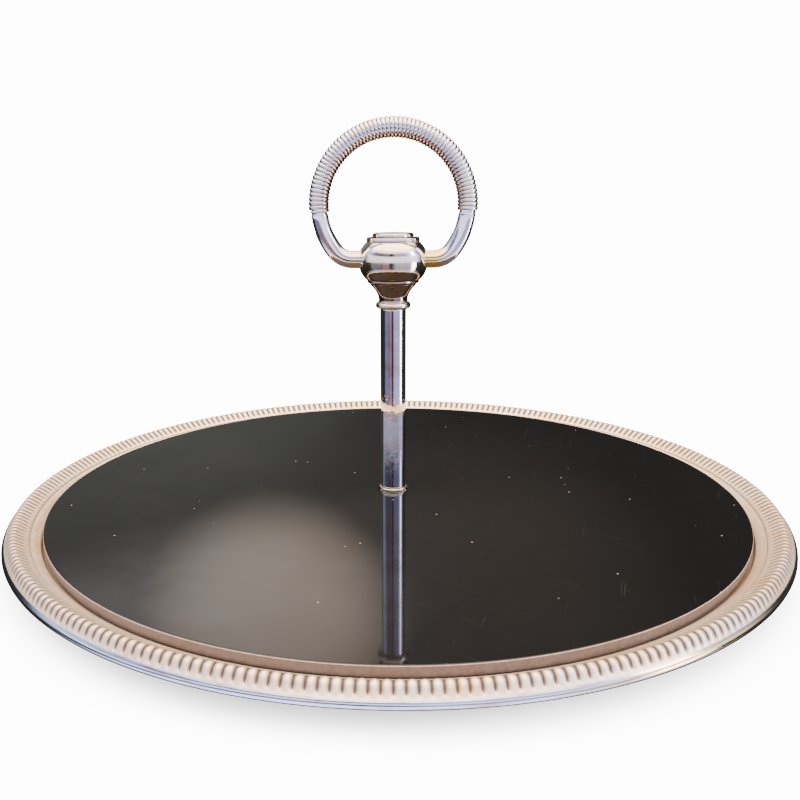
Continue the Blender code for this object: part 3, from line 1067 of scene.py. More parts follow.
def screw_thread() -> GrowthTree:
    """Return the tree that cuts a screw thread along a rod on the Z axis.

    The first and last rows close on the axis, and the thread fades out over the end's chamfer.
    """
    growth = GrowthTree("screw thread", {"Sides": "Int", "Rows": "Int", "Radius": "Float",
                                         "Depth": "Float", "Pitch": "Float", "Bottom": "Float",
                                         "Top": "Float", "Chamfer": "Float"})
    graph = growth.graph
    mesh, column, row = growth.grid(growth.whole("ADD", growth["Rows"], 1),
                                    growth.whole("ADD", growth["Sides"], 1))
    step = graph.math("SUBTRACT", column, 1.0)
    share = graph.math("DIVIDE", step, graph.math("SUBTRACT", growth["Rows"], 2.0), clamp=True)
    length = graph.math("SUBTRACT", growth["Top"], growth["Bottom"])
    height = graph.math("MULTIPLY_ADD", share, length, growth["Bottom"])
    round_share = graph.math("DIVIDE", row, growth["Sides"])
    phase = graph.math("SUBTRACT", graph.math("DIVIDE", height, growth["Pitch"]), round_share)
    wave = graph.math("PINGPONG", phase, 0.5)
    root = graph.math("MULTIPLY", graph.math("MULTIPLY", wave, 2.0), growth["Depth"])
    to_end = graph.math("MINIMUM", graph.math("SUBTRACT", height, growth["Bottom"]),
                        graph.math("SUBTRACT", growth["Top"], height))
    cut = graph.math("SUBTRACT", growth["Chamfer"], to_end)
    cut = graph.math("MAXIMUM", graph.math("MAXIMUM", cut, 0.0), root)
    radius = graph.math("SUBTRACT", growth["Radius"], cut)
    inside = graph.math("MULTIPLY", graph.math("GREATER_THAN", column, 0.5),
                        graph.math("LESS_THAN", column,
                                   graph.math("SUBTRACT", growth["Rows"], 0.5)))
    radius = graph.math("MULTIPLY", radius, inside)
    angle = graph.math("MULTIPLY", round_share, math.tau)
    across = graph.math("MULTIPLY", radius, graph.math("COSINE", angle))
    depth = graph.math("MULTIPLY", radius, graph.math("SINE", angle))
    place = graph.node("ShaderNodeCombineXYZ", {0: across, 1: depth, 2: height}).outputs[0]
    # Painted shade in the thread's roots.
    growth.close(mesh, place, graph.math("MULTIPLY", wave, 1.2))
    return growth


# --------------------------------------------------------------------------- the tray


@dataclass
class PressedTray:
    """The pressed tray: a flat floor, a cove, a band of radial flutes and a rolled edge.

    Heights are above the rim's lowest line, and distances are from the axis.

    Attributes:
        sheet: Thickness of the metal.
        crest_height: Height of the fluted band.
        crest: Distance of the band's highest line.
        crest_radius: Rounding of the band.
        flute_end: Where the flutes end outside.
        groove: The thin groove between cove and flutes.
        lip: The bright lip next to the glass.
        floor_edge: Radius of the flat floor.
        roll_radius: Radius of the rolled edge.
        flutes: How many flutes there are.
        flute_depth: How deep a valley is.
        flute_steps: Segments across a flute.
        crown: Power of a flute's rounding; above 1 its top is narrower.
        crowding: How far a flute's segments crowd into its valley.
        cove_bulge: How far the cove bulges.
        gap_shade: How dark the painted shade in the groove and the gap round the glass is.
        columns: Segments round the floor piece.
    """

    sheet: float = 0.0008
    crest_height: float = 0.0070
    crest: float = 0.1556
    crest_radius: float = 0.0020
    flute_end: Point = (0.1587, 0.00395)
    groove: Point = (0.1498, 0.0034)
    lip: Point = (0.1464, 0.0015)
    floor_edge: float = 0.1456
    roll_radius: float = 0.0018
    flutes: int = 296
    flute_depth: float = 0.00046
    flute_steps: int = 8
    crown: float = 1.1
    crowding: float = 0.10
    cove_bulge: float = 0.00012
    gap_shade: float = 0.7
    columns: int = 592

    def __post_init__(self) -> None:
        """Read the tray's place from its CAD node."""
        low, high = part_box("tray_pan")
        self.radius = high.x
        self.floor_bottom = low.z
        self.rim_base = high.z - self.crest_height
        self.rod_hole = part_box("tie_rod")[1].x + 0.3 * MILLIMETRE

    def lifted(self, spot: Point, drop: float = 0.0, out: float = 0.0) -> Point:
        """Return a point of the section in the shared frame."""
        return spot[0] + out, self.rim_base + spot[1] - drop

    def rim_section(self) -> tuple[list[Point], list[float]]:
        """Return the rim's closed section and how far each point is pressed.

        Returns:
            The points from the groove over the flutes and round the roll, then back underneath,
            and for each the share of the flutes' depth that it takes.
        """
        crest_centre = self.lifted((self.crest, self.crest_height - self.crest_radius))
        roll_centre = (self.radius - self.roll_radius, self.rim_base + self.roll_radius)
        start = self.lifted(self.groove)
        shoulder = self.lifted((self.groove[0] + 0.0003, self.groove[1] + 0.0004))
        outer = self.lifted(self.flute_end)
        crest = arc(crest_centre, (self.crest_radius,) * 2, 121, 35, 6)
        flank = between(shoulder, crest[0], 5)
        fall = between(crest[-1], outer, 2)
        roll = arc(roll_centre, (self.roll_radius,) * 2, 60, -120, 9)
        top = [start, shoulder] + flank + crest + fall + [outer] + roll
        pressed = [0.0, 0.0, 0.4] + [1.0] * (len(flank) - 1 + len(crest)) + [1.0, 0.8, 0.0]
        pressed += [0.0] * len(roll)
        inner = self.roll_radius - self.sheet
        below = arc(roll_centre, (inner,) * 2, -120, 60, 4)
        turn = arc(crest_centre, (self.crest_radius - self.sheet,) * 2, 35, 121, 3)
        foot = (start[0], start[1] - self.sheet)
        shift = between(turn[-1], foot, 2)
        under = below + turn + shift + [foot]
        pressed += [0.0] * len(below) + [1.0] * len(turn) + [1.0, 0.6, 0.0]
        return top + under, pressed

    def section_host(self) -> bpy.types.Object:
        """Return the rim's section as an object with its pressing attribute and its painted shade
        in the groove.
        """
        points, pressed = self.rim_section()
        closed = points + points[:1]
        shares = pressed + pressed[:1]
        mesh = bpy.data.meshes.new("rim_section")
        edges = [(i, i + 1) for i in range(len(closed) - 1)]
        mesh.from_pydata([(r, 0.0, z) for r, z in closed], edges, [])
        centre = Vector((self.crest, self.rim_base + self.crest_height - 3 * self.crest_radius))
        press: list[float] = []
        for (r, z), share in zip(closed, shares):
            inward = (centre - Vector((r, z))).normalized() * share
            press += [inward.x, 0.0, inward.y]
        mesh.attributes.new(PRESS, "FLOAT_VECTOR", "POINT").data.foreach_set("vector", press)
        # Painted shade in the groove, at the section's first point.
        groove = [1.0 if i in (0, len(points)) else 0.0 for i in range(len(closed))]
        mesh.attributes.new(SHADE_AND_GRIME, "FLOAT", "POINT").data.foreach_set("value", groove)
        host = bpy.data.objects.new("tray_rim", mesh)
        bpy.context.scene.collection.objects.link(host)
        return host

    def build_rim(self, material: bpy.types.Material) -> None:
        """Grow the fluted rim from its section."""
        sizes = {"Flutes": self.flutes, "Steps per Flute": self.flute_steps,
                 "Depth": self.flute_depth, "Crown": self.crown, "Crowding": self.crowding,
                 "Material": material}
        rim = fluted_turning().grow(self.section_host(), sizes, 60.0)
        mount(rim, Body.STAND, "tray_plating", "tray_pan")

    def build_floor(self, material: bpy.types.Material) -> None:
        """Turn the cove, lip and floor, which lie inside the groove."""
        groove = self.lifted(self.groove)
        lip = self.lifted(self.lip)
        floor_top = self.floor_bottom + self.sheet
        lip_top = (lip[0] + 0.0006, lip[1] + 0.0003)
        edge = self.floor_edge
        corners = [(self.rod_hole, self.floor_bottom, 0.0001),
                   (edge + self.sheet, self.floor_bottom, 0.0005),
                   (lip[0] + 0.0009, lip[1] - self.sheet, 0.0004),
                   (groove[0], groove[1] - self.sheet, 0.0)]
        under = rounded(corners, 4, closed=False)
        cove = [(r, z + self.cove_bulge * math.sin(math.pi * (i + 1) / 9))
                for i, (r, z) in enumerate(between(groove, lip_top, 8))]
        corners = [(*lip_top, 0.0001), (*lip, 0.00025),
                   (lip[0] - 0.0004, lip[1] - 0.0004, 0.0002), (edge, floor_top, 0.0004),
                   (self.rod_hole, floor_top, 0.0001)]
        outline = under + [groove] + cove + rounded(corners, 3, closed=False)
        tray = to_object(lathe(outline, self.columns), "tray_floor", material, 40.0)
        rim_edge = groove[0]
        wall_top = lip[1] - 0.0003

        def depth(spot: Vector) -> float:
            """Return the painted shade on a vertex of the floor piece, in the groove and the gap
            round the glass.
            """
            radius = math.hypot(spot.x, spot.y)
            below_lip = spot.z < wall_top and radius < lip[0] + 0.0002
            at_groove = radius > rim_edge - 0.0001
            in_gap = below_lip and radius > edge - 0.001
            return self.gap_shade if at_groove or in_gap else 0.0

        mark_shade_and_grime(tray, depth)
        mount(tray, Body.STAND, "tray_plating", "tray_pan")

    def build(self) -> None:
        """Build the tray's two pieces."""
        material = FLUTED_PLATING.build()
        self.build_rim(material)
        self.build_floor(material)


@dataclass
class GlassDisc:
    """The black glass disc, with its liner and sleeve.

    Attributes:
        arris: Polished bevel along the glass's edges.
        columns: Segments round the disc.
    """

    arris: float = 0.0005
    columns: int = 512

    def build(self) -> None:
        """Build the disc and dress the two hidden nodes round it."""
        low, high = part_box("glass_insert")
        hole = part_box("glass_bush")[1].x + 0.4 * MILLIMETRE
        cut = self.arris
        corners = [(hole, low.z, cut), (high.x, low.z, cut), (high.x, high.z, cut),
                   (hole, high.z, cut)]
        disc = to_object(lathe(rounded(corners, 4), self.columns), "glass_disc", GLASS.build(),
                         40.0)
        mount(disc, Body.STAND, "black_glass", "glass_insert")
        self.build_hidden()

    def build_hidden(self) -> None:
        """Turn the felt liner and the rod's sleeve with softened edges."""
        low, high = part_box("bedding_disc")
        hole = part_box("glass_bush")[1].x + 0.4 * MILLIMETRE
        soft = 0.00015
        corners = [(hole, low.z, soft), (high.x, low.z, soft), (high.x, high.z, soft),
                   (hole, high.z, soft)]
        liner = to_object(lathe(rounded(corners, 3), 128), "felt_liner", FELT.build())
        mount(liner, Body.STAND, "liner_felt", "bedding_disc")
        low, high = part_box("glass_bush")
        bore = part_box("tie_rod")[1].x + 0.3 * MILLIMETRE
        corners = [(bore, low.z, soft), (high.x, low.z, soft), (high.x, high.z, soft),
                   (bore, high.z, soft)]
        sleeve = to_object(lathe(rounded(corners, 3), 48), "rod_sleeve", FIBRE.build())
        mount(sleeve, Body.STAND, "bush_fibre", "glass_bush")


# --------------------------------------------------------------------------- post and knob


@dataclass
class Post:
    """The washer, the chromed tube and the threaded rod inside it.

    Attributes:
        tube_wall: Thickness of the tube.
        clearance: Room round the rod in the washer.
        edge: Rounding of turned edges.
        pitch: Pitch of the rod's thread.
        thread_depth: Depth of the thread.
    """

    tube_wall: float = 0.0010
    clearance: float = 0.0003
    edge: float = 0.0003
    pitch: float = 0.0008
    thread_depth: float = 0.00034

    def build(self) -> None:
        """Build the three pieces."""
        self.build_washer()
        self.build_tube()
        self.build_rod()

    def build_washer(self) -> None:
        """Turn the brass washer under the tube."""
        low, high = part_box("post_washer")
        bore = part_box("tie_rod")[1].x + self.clearance
        corners = [(bore, low.z, 0.0001), (high.x, low.z, self.edge), (high.x, high.z, self.edge),
                   (bore, high.z, 0.0001)]
        washer = to_object(lathe(rounded(corners), 96), "post_washer_ring", WASHER_BRASS.build())
        mount(washer, Body.STAND, "washer_brass", "post_washer")

    def build_tube(self) -> None:
        """Turn the chromed tube, with a rounded foot."""
        low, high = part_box("post_tube")
        bore = high.x - self.tube_wall
        corners = [(bore, low.z, 0.0001), (high.x, low.z, self.edge),
                   (high.x, high.z, 0.0001), (bore, high.z, 0.0001)]
        tube = to_object(lathe(rounded(corners), 96), "post_sleeve", TUBE_CHROME.build())
        mount(tube, Body.STAND, "tube_chrome", "post_tube")

    def build_rod(self) -> None:
        """Cut the tie rod's thread."""
        low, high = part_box("tie_rod")
        rows = 6 * round((high.z - low.z) / self.pitch)
        sizes = {"Sides": 20, "Rows": rows, "Radius": high.x, "Depth": self.thread_depth,
                 "Pitch": self.pitch, "Bottom": low.z, "Top": high.z, "Chamfer": 0.0005,
                 "Material": ROD_STEEL.build()}
        rod = screw_thread().grow(bare_host("threaded_rod"), sizes, 75.0)
        mount(rod, Body.STAND, "rod_steel", "tie_rod")


@dataclass
class Knob:
    """The flared neck, the ball, its cap button and the two brass bushes.

    Attributes:
        spigot: Radius of the neck's spigot in the tube.
        spigot_length: How far it reaches into the tube.
        flange: Half height of the round flange under the neck.
        neck: Radius, and height above the flange's foot, along the neck.
        neck_top: Radius of the neck where it meets the ball.
        bead: Radius of the bead under the ball.
        bead_reach: Distance of the bead's middle from the axis.
        fullness: 2 makes the ball an ellipse, more makes it squarer.
        ball_rise: Height of the ball's middle above its bottom.
        ball_height: From the ball's middle to where its poles would be.
        step: Radius of the step that carries the button.
        step_height: Height of that step.
        cap_spigot: Radius of the button's spigot.
        cap_rise: From the pivot line to the button's spigot.
        bush_wall: Thickness of a bush.
        gap: Room between neighbouring pieces.
        edge: Rounding of turned edges.
    """

    spigot: float = 0.0040
    spigot_length: float = 0.0050
    flange: float = 0.00135
    neck: tuple[Point, ...] = ((0.0059, 0.0030), (0.0059, 0.0040), (0.0062, 0.0055),
                               (0.0073, 0.0076), (0.0091, 0.0096))
    neck_top: float = 0.0097
    bead: float = 0.0007
    bead_reach: float = 0.0100
    fullness: float = 2.4
    ball_rise: float = 0.0089
    ball_height: float = 0.0105
    step: float = 0.0108
    step_height: float = 0.0015
    cap_spigot: float = 0.0045
    cap_rise: float = 0.0051
    bush_wall: float = 0.0005
    gap: float = 0.0003
    edge: float = 0.0003

    def __post_init__(self) -> None:
        """Read the pivot, the ball and the bores from the CAD nodes."""
        low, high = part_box("pivot_bush_right")
        self.pivot = (low.z + high.z) / 2
        self.bush_radius = (high.z - low.z) / 2
        self.rod_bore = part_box("tie_rod")[1].x + self.gap
        self.cap_bottom = self.pivot + self.cap_rise
        low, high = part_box("knob_body")
        self.ball_radius = high.x
        self.ball_bottom = low.z
        self.ball_top = high.z
        self.ball_middle = low.z + self.ball_rise

    def build(self) -> None:
        """Build every piece of the knob."""
        material = KNOB_METAL.build()
        self.build_neck(material)
        self.build_ball(material)
        self.build_button(material)
        self.build_bushes()

    def build_neck(self, material: bpy.types.Material) -> None:
        """Turn the flared neck with its flange and spigot."""
        low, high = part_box("neck_cup")
        base = low.z + self.spigot_length
        outline = [(self.rod_bore, low.z), (self.spigot, low.z), (self.spigot, base)]
        middle = (self.neck[0][0], base + self.flange)
        outline += arc(middle, (self.flange,) * 2, -90, 80, 12)
        corners = [(radius, base + rise, 0.0011) for radius, rise in self.neck]
        corners += [(self.neck_top, high.z, self.edge), (self.rod_bore, high.z, 0.0)]
        outline += rounded([(*outline[-1], 0.0)] + corners, 5, closed=False)[1:]
        neck = to_object(lathe(outline, 96), "flared_neck", material)
        # Painted shade in the hollow of the neck.
        hollow = base + self.neck[0][1] - 0.0001
        mark_shade_and_grime(neck, lambda spot: 0.6 if abs(spot.z - hollow) < 0.0003 else 0.0)
        mount(neck, Body.STAND, "knob_plating", "neck_cup")

    def ball_arc(self, start_deg: float, end_deg: float, count: int) -> list[Point]:
        """Return points on the ball's full-bodied profile, both ends included."""
        power = 2 / self.fullness
        points = []
        for i in range(count):
            a = math.radians(start_deg + (end_deg - start_deg) * i / (count - 1))
            rise = math.copysign(abs(math.sin(a)) ** power, a)
            points.append((self.ball_radius * math.cos(a) ** power,
                           self.ball_middle + self.ball_height * rise))
        return points

    def ball_reach(self, depth: float, height: float) -> float:
        """Return how far along X the ball's surface lies at a place in the YZ plane."""
        share = abs(height - self.ball_middle) / self.ball_height
        radius = self.ball_radius * (1 - share ** self.fullness) ** (1 / self.fullness)
        return math.sqrt(radius ** 2 - depth ** 2)

    def build_ball(self, material: bpy.types.Material) -> None:
        """Turn the ball with its bead and step, and bore it for the stubs."""
        counterbore = self.cap_spigot + self.gap
        bottom, top = self.ball_bottom, self.ball_top
        outline = [(self.rod_bore, bottom)]
        outline += arc((self.bead_reach, bottom + self.bead), (self.bead,) * 2, -90, 60, 9)
        ball = self.ball_arc(-45, 44, 36)
        corners = [(*ball[-1], 0.0), (self.step, top - self.step_height, 0.0002),
                   (self.step, top, self.edge), (counterbore, top, 0.0001),
                   (counterbore, self.cap_bottom - self.gap, 0.0),
                   (self.rod_bore, self.cap_bottom - self.gap, 0.0)]
        outline += ball + rounded(corners, 4, closed=False)[1:]
        knob = to_object(lathe(outline, 128), "knob_ball", material)
        self.bore(knob)
        mark_shade_and_grime(knob, self.ball_shade)
        mount(knob, Body.STAND, "knob_plating", "knob_body")

    def ball_shade(self, spot: Vector) -> float:
        """Return the painted shade on a vertex of the ball: under the step and above the bead."""
        under_step = abs(spot.z - self.ball_top + self.step_height) < 0.00025
        above_bead = abs(spot.z - self.ball_bottom - 2 * self.bead) < 0.0003
        outside = math.hypot(spot.x, spot.y) > self.bead_reach
        return 0.6 if outside and (under_step or above_bead) else 0.0

    def bore(self, ball: bpy.types.Object) -> None:
        """Take the cross bore for the bushes out of the ball."""
        bm = bmesh.new()
        sideways = Matrix.Translation((0.0, 0.0, self.pivot)) @ Matrix.Rotation(math.pi / 2, 4, "Y")
        radius = self.bush_radius + 0.2 * self.gap
        bmesh.ops.create_cone(bm, cap_ends=True, segments=64, radius1=radius, radius2=radius,
                              depth=4 * self.ball_radius, matrix=sideways)
        tool = to_object(bm, "cross_bore", ball.data.materials[0])
        cut = ball.modifiers.new("cut", "BOOLEAN")
        cut.operation = "DIFFERENCE"
        cut.solver = "EXACT"
        cut.object = tool
        bpy.context.view_layer.update()
        bored = ball.evaluated_get(bpy.context.evaluated_depsgraph_get())
        mesh = bpy.data.meshes.new_from_object(bored)
        ball.modifiers.remove(cut)
        mesh.name = ball.name
        mesh.set_sharp_from_angle(angle=math.radians(32.0))
        ball.data = mesh
        bpy.data.objects.remove(tool, do_unlink=True)

    def build_button(self, material: bpy.types.Material) -> None:
        """Turn the cap button, with a shallow ring near its edge."""
        low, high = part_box("top_button")
        base = self.ball_top + self.gap
        reach = high.x
        rod_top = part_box("tie_rod")[1].z + self.gap
        corners = [(0.0, rod_top, 0.0), (self.rod_bore, rod_top, 0.0),
                   (self.rod_bore, low.z, 0.0), (self.cap_spigot, low.z, 0.0002),
                   (self.cap_spigot, base, 0.0), (reach, base, 0.0002),
                   (reach, high.z - 0.0003, 0.0005), (reach - 0.0012, high.z, 0.0003),
                   (reach - 0.0018, high.z - 0.00025, 0.0003),
                   (reach - 0.0030, high.z - 0.00015, 0.0006), (0.0, high.z, 0.0)]
        outline = rounded(corners, 4, closed=False)
        button = to_object(lathe(outline, 96, closed=False), "cap_button", material)
        # Painted shade where the button sits on the ball.
        mark_shade_and_grime(button, lambda spot: 0.6 if spot.z < base + 0.0002 else 0.0)
        mount(button, Body.STAND, "knob_plating", "top_button")

    def build_bushes(self) -> None:
        """Turn the two bushes and face them off flush with the ball."""
        material = BUSH_BRASS.build()
        for side in Side:
            node = f"pivot_bush_{side.name.lower()}"
            low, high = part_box(node)
            inner, outer = sorted((abs(low.x), abs(high.x)))
            bore = self.bush_radius - self.bush_wall
            corners = [(bore, inner, 0.0001), (self.bush_radius, inner, 0.0001),
                       (self.bush_radius, outer, 0.0), (bore, outer, 0.0)]
            bm = lathe(rounded(corners, 3), 64)
            ends = [vertex for vertex in bm.verts if vertex.co.z > outer - 1e-6]
            turn = Matrix.Rotation(side.value * math.pi / 2, 4, "Y")
            bm.transform(Matrix.Translation((0.0, 0.0, self.pivot)) @ turn)
            for vertex in ends:
                vertex.co.x = side.value * self.ball_reach(vertex.co.y, vertex.co.z)
            bush = to_object(bm, f"stub_bush_{side.name.lower()}", material)
            mount(bush, Body.STAND, "bush_brass", node)


# --------------------------------------------------------------------------- the handle


@dataclass
class RingHandle:
    """The bent rod with its two stubs, and the wire wound round it.

    Attributes:
        stub_end: How near the axis the stubs reach.
        bend: Radius of the bend between stub and ring.
        core: Radius of the rod under the wire.
        winding_end_deg: Where the winding starts, below the ring's centre.
        turns: Turns of the wire.
        wire_height: Half thickness of the wire, away from the rod.
        wire_width: Half width of the wire along the rod.
        squareness: How far the turns lie square to the rod in front, from 0 to 1, with a sign
            for the side on which they step on to the next.
        sides: Segments round the rod.
    """

    stub_end: float = 0.0065
    bend: float = 0.0095
    core: float = 0.0032
    winding_end_deg: float = -6.4
    turns: int = 63
    wire_height: float = 0.00050
    wire_width: float = 0.00080
    squareness: float = -0.85
    sides: int = 48

    def __post_init__(self) -> None:
        """Read the ring's circle and the stubs from the CAD nodes."""
        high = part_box("grip_winding")[1]
        self.outer = high.y
        self.ring_radius = high.x - high.y
        self.ring_height = high.z - high.x
        low, rod_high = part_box("handle_ring")
        self.stub_radius = rod_high.y
        self.pivot = low.z + self.stub_radius

    def ring_station(self, angle: float, radius: float) -> tuple[Vector, Vector, float]:
        """Return a station of the rod on the ring's circle."""
        outward = Vector((math.cos(angle), 0.0, math.sin(angle)))
        centre = Vector((0.0, 0.0, self.ring_height)) + outward * self.ring_radius
        return centre, outward, radius

    def right_half(self) -> list[tuple[Vector, Vector, float]]:
        """Return the stations from the right stub's end up to the winding."""
        reach = self.ring_radius - self.bend
        drop = self.ring_height - self.pivot - self.bend
        middle = Vector((math.sqrt(reach ** 2 - drop ** 2), 0.0, self.pivot + self.bend))
        meet = math.atan2(-drop, middle.x)
        down = Vector((0.0, 0.0, -1.0))
        cham = 0.0004
        stations = [(Vector((self.stub_end, 0.0, self.pivot)), down, self.stub_radius - cham),
                    (Vector((self.stub_end + cham, 0.0, self.pivot)), down, self.stub_radius)]
        bends = 14
        for i in range(bends + 1):
            angle = -math.pi / 2 + (meet + math.pi / 2) * i / bends
            outward = Vector((math.cos(angle), 0.0, math.sin(angle)))
            stations.append((middle + outward * self.bend, outward, self.stub_radius))
        end = math.radians(self.winding_end_deg)
        straights = 7
        for i in range(1, straights + 1):
            angle = meet + (end - math.radians(1.2) - meet) * i / straights
            stations.append(self.ring_station(angle, self.stub_radius))
        stations.append(self.ring_station(end - math.radians(0.5), self.core + 0.0002))
        stations.append(self.ring_station(end, self.core))
        return stations

    def build_rod(self) -> None:
        """Sweep the bent rod."""
        right = self.right_half()
        left = [(Vector((-c.x, 0.0, c.z)), Vector((-a.x, 0.0, a.z)), r)
                for c, a, r in reversed(right)]
        start = math.radians(self.winding_end_deg)
        span = math.pi - 2 * start
        steps = 72
        core = [self.ring_station(start + span * i / steps, self.core) for i in range(1, steps)]
        rod = to_object(sweep(right + core + left, self.sides), "bent_rod", HANDLE_METAL.build())
        mount(rod, Body.HANDLE, "handle_plating", "handle_ring")

    def build_winding(self) -> None:
        """Wind the wire."""
        ease = 0.0006 / self.ring_radius
        start = math.radians(self.winding_end_deg) + ease
        sizes = {"Turns": self.turns, "Steps per Turn": 18, "Sides": 10,
                 "Ring Radius": self.ring_radius, "Ring Height": self.ring_height,
                 "Wrap Radius": self.outer - self.wire_height, "Wire Height": self.wire_height,
                 "Wire Width": self.wire_width, "Start": start, "End": math.pi - start,
                 "Taper Steps": 9.0, "Squareness": self.squareness / math.tau,
                 "Material": WIRE_METAL.build()}
        wire = wound_wire().grow(bare_host("wound_grip"), sizes, 60.0)
        mount(wire, Body.HANDLE, "winding_wire", "grip_winding")

    def build(self) -> None:
        """Build the rod and the winding."""
        self.build_rod()
        self.build_winding()


# --------------------------------------------------------------------------- the underside


@dataclass
class Underside:
    """The washers and the nut that clamp the post, and the four rubber feet.

    Attributes:
        edge: Rounding of turned edges.
        split_deg: How far round the spring washer goes.
        nut_chamfer: How steeply the nut's corners are cut, as a slope.
        foot_taper: How much narrower a foot is at the table.
        recess: Radius and depth of the hollow under a foot.
    """

    edge: float = 0.00015
    split_deg: float = 348.0
    nut_chamfer: float = 0.55
    foot_taper: float = 0.0008
    recess: Point = (0.0038, 0.0012)

    def __post_init__(self) -> None:
        """Read the rod's bore."""
        self.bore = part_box("tie_rod")[1].x + 0.3 * MILLIMETRE

    def washer(self, node: str, name: str, material: bpy.types.Material,
               turn_deg: float = 360.0) -> None:
        """Turn a flat washer in place of a CAD node.

        Args:
            node: The CAD node.
            name: The new piece's name.
            material: Its material.
            turn_deg: Less than a circle for a split washer.
        """
        low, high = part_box(node)
        corners = [(self.bore, low.z, self.edge), (high.x, low.z, self.edge),
                   (high.x, high.z, self.edge), (self.bore, high.z, self.edge)]
        piece = to_object(lathe(rounded(corners, 3), 96, turn_deg=turn_deg), name, material)
        mount(piece, Body.STAND, "zinc_steel", node)

    def build_nut(self, material: bpy.types.Material) -> None:
        """Turn the hexagon nut, its corners cut to a cone at both faces."""
        low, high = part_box("clamp_nut")
        corner = high.x
        flat = corner * math.cos(math.pi / 6)

        def hexagon(angle: float, radius: float, height: float) -> float:
            """Return the nut's radius at an angle, kept inside both chamfers."""
            if radius < flat * 0.9:
                return radius
            turn = (angle + math.pi / 6) % (math.pi / 3) - math.pi / 6
            side = flat / math.cos(math.pi / 6 - abs(turn))
            to_face = min(height - low.z, high.z - height)
            return min(side, flat * 0.985 + to_face / self.nut_chamfer)

        levels = [low.z + (high.z - low.z) * i / 16 for i in range(17)]
        outline = [(self.bore, levels[0] + 0.0003), (self.bore + 0.0003, levels[0])]
        outline += [(corner, z) for z in levels]
        outline += [(self.bore + 0.0003, levels[-1]), (self.bore, levels[-1] - 0.0003)]
        nut = to_object(lathe(outline, 144, shape=hexagon), "hexagon_nut", material, 25.0)
        mount(nut, Body.STAND, "zinc_steel", "clamp_nut")

    def build_foot(self, node: str, material: bpy.types.Material) -> None:
        """Mould a tapered foot with a hollow underneath."""
        low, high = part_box(node)
        radius = (high.x - low.x) / 2
        lower = radius - self.foot_taper
        hollow, deep = self.recess
        corners = [(0.0, low.z + deep, 0.0), (hollow, low.z + deep, 0.0008),
                   (hollow + 0.0006, low.z, 0.0003), (lower, low.z, 0.0006),
                   (radius - 0.0002, high.z - 0.0008, 0.0002), (radius, high.z - 0.0006, 0.0002),
                   (radius, high.z, 0.0003), (0.0, high.z, 0.0)]
        bm = lathe(rounded(corners, 5, closed=False), 72, closed=False)
        bm.transform(Matrix.Translation(((low.x + high.x) / 2, (low.y + high.y) / 2, 0.0)))
        foot = to_object(bm, node.replace("foot", "rubber_foot"), material)
        mount(foot, Body.STAND, "foot_rubber", node)

    def build(self) -> None:
        """Build every piece under the tray."""
        zinc = ZINC_STEEL.build()
        self.washer("clamp_washer", "clamp_washer_ring", zinc)
        self.washer("lock_washer", "spring_washer", zinc, self.split_deg)
        self.build_nut(zinc)
        rubber = RUBBER.build()
        for place in ("front_left", "front_right", "rear_left", "rear_right"):
            self.build_foot(f"foot_{place}", rubber)


# --------------------------------------------------------------------------- studio and camera


@dataclass(frozen=True)
class Glow:
    """A soft patch of light in the room round the object.

    Attributes:
        heading_deg: 0 in front, 90 at the right, 180 behind.
        elevation_deg: Above the horizon.
        reach_deg: Angle at which the patch has faded out.
        colour: The light's colour times its brightness.
        core: Share of the reach that is fully bright.
    """

    heading_deg: float
    elevation_deg: float
    reach_deg: float
    colour: Colour
    core: float = 0.4

    def direction(self) -> Vector:
        """Return the unit vector towards the patch."""
        heading = math.radians(self.heading_deg)
        elevation = math.radians(self.elevation_deg)
        return Vector((math.sin(heading) * math.cos(elevation),
                       -math.cos(heading) * math.cos(elevation), math.sin(elevation)))


@dataclass(frozen=True)
class Panel:
    """An upright panel of light on the horizon, soft at its sides.

    Attributes:
        heading_deg: 0 in front, 90 at the right, -90 at the left.
        spread_deg: Angle from its middle at which it has faded out.
        colour: The light's colour times its brightness.
        core: Share of the spread that is fully bright.
    """

    heading_deg: float
    spread_deg: float
    colour: Colour
    core: float = 0.6


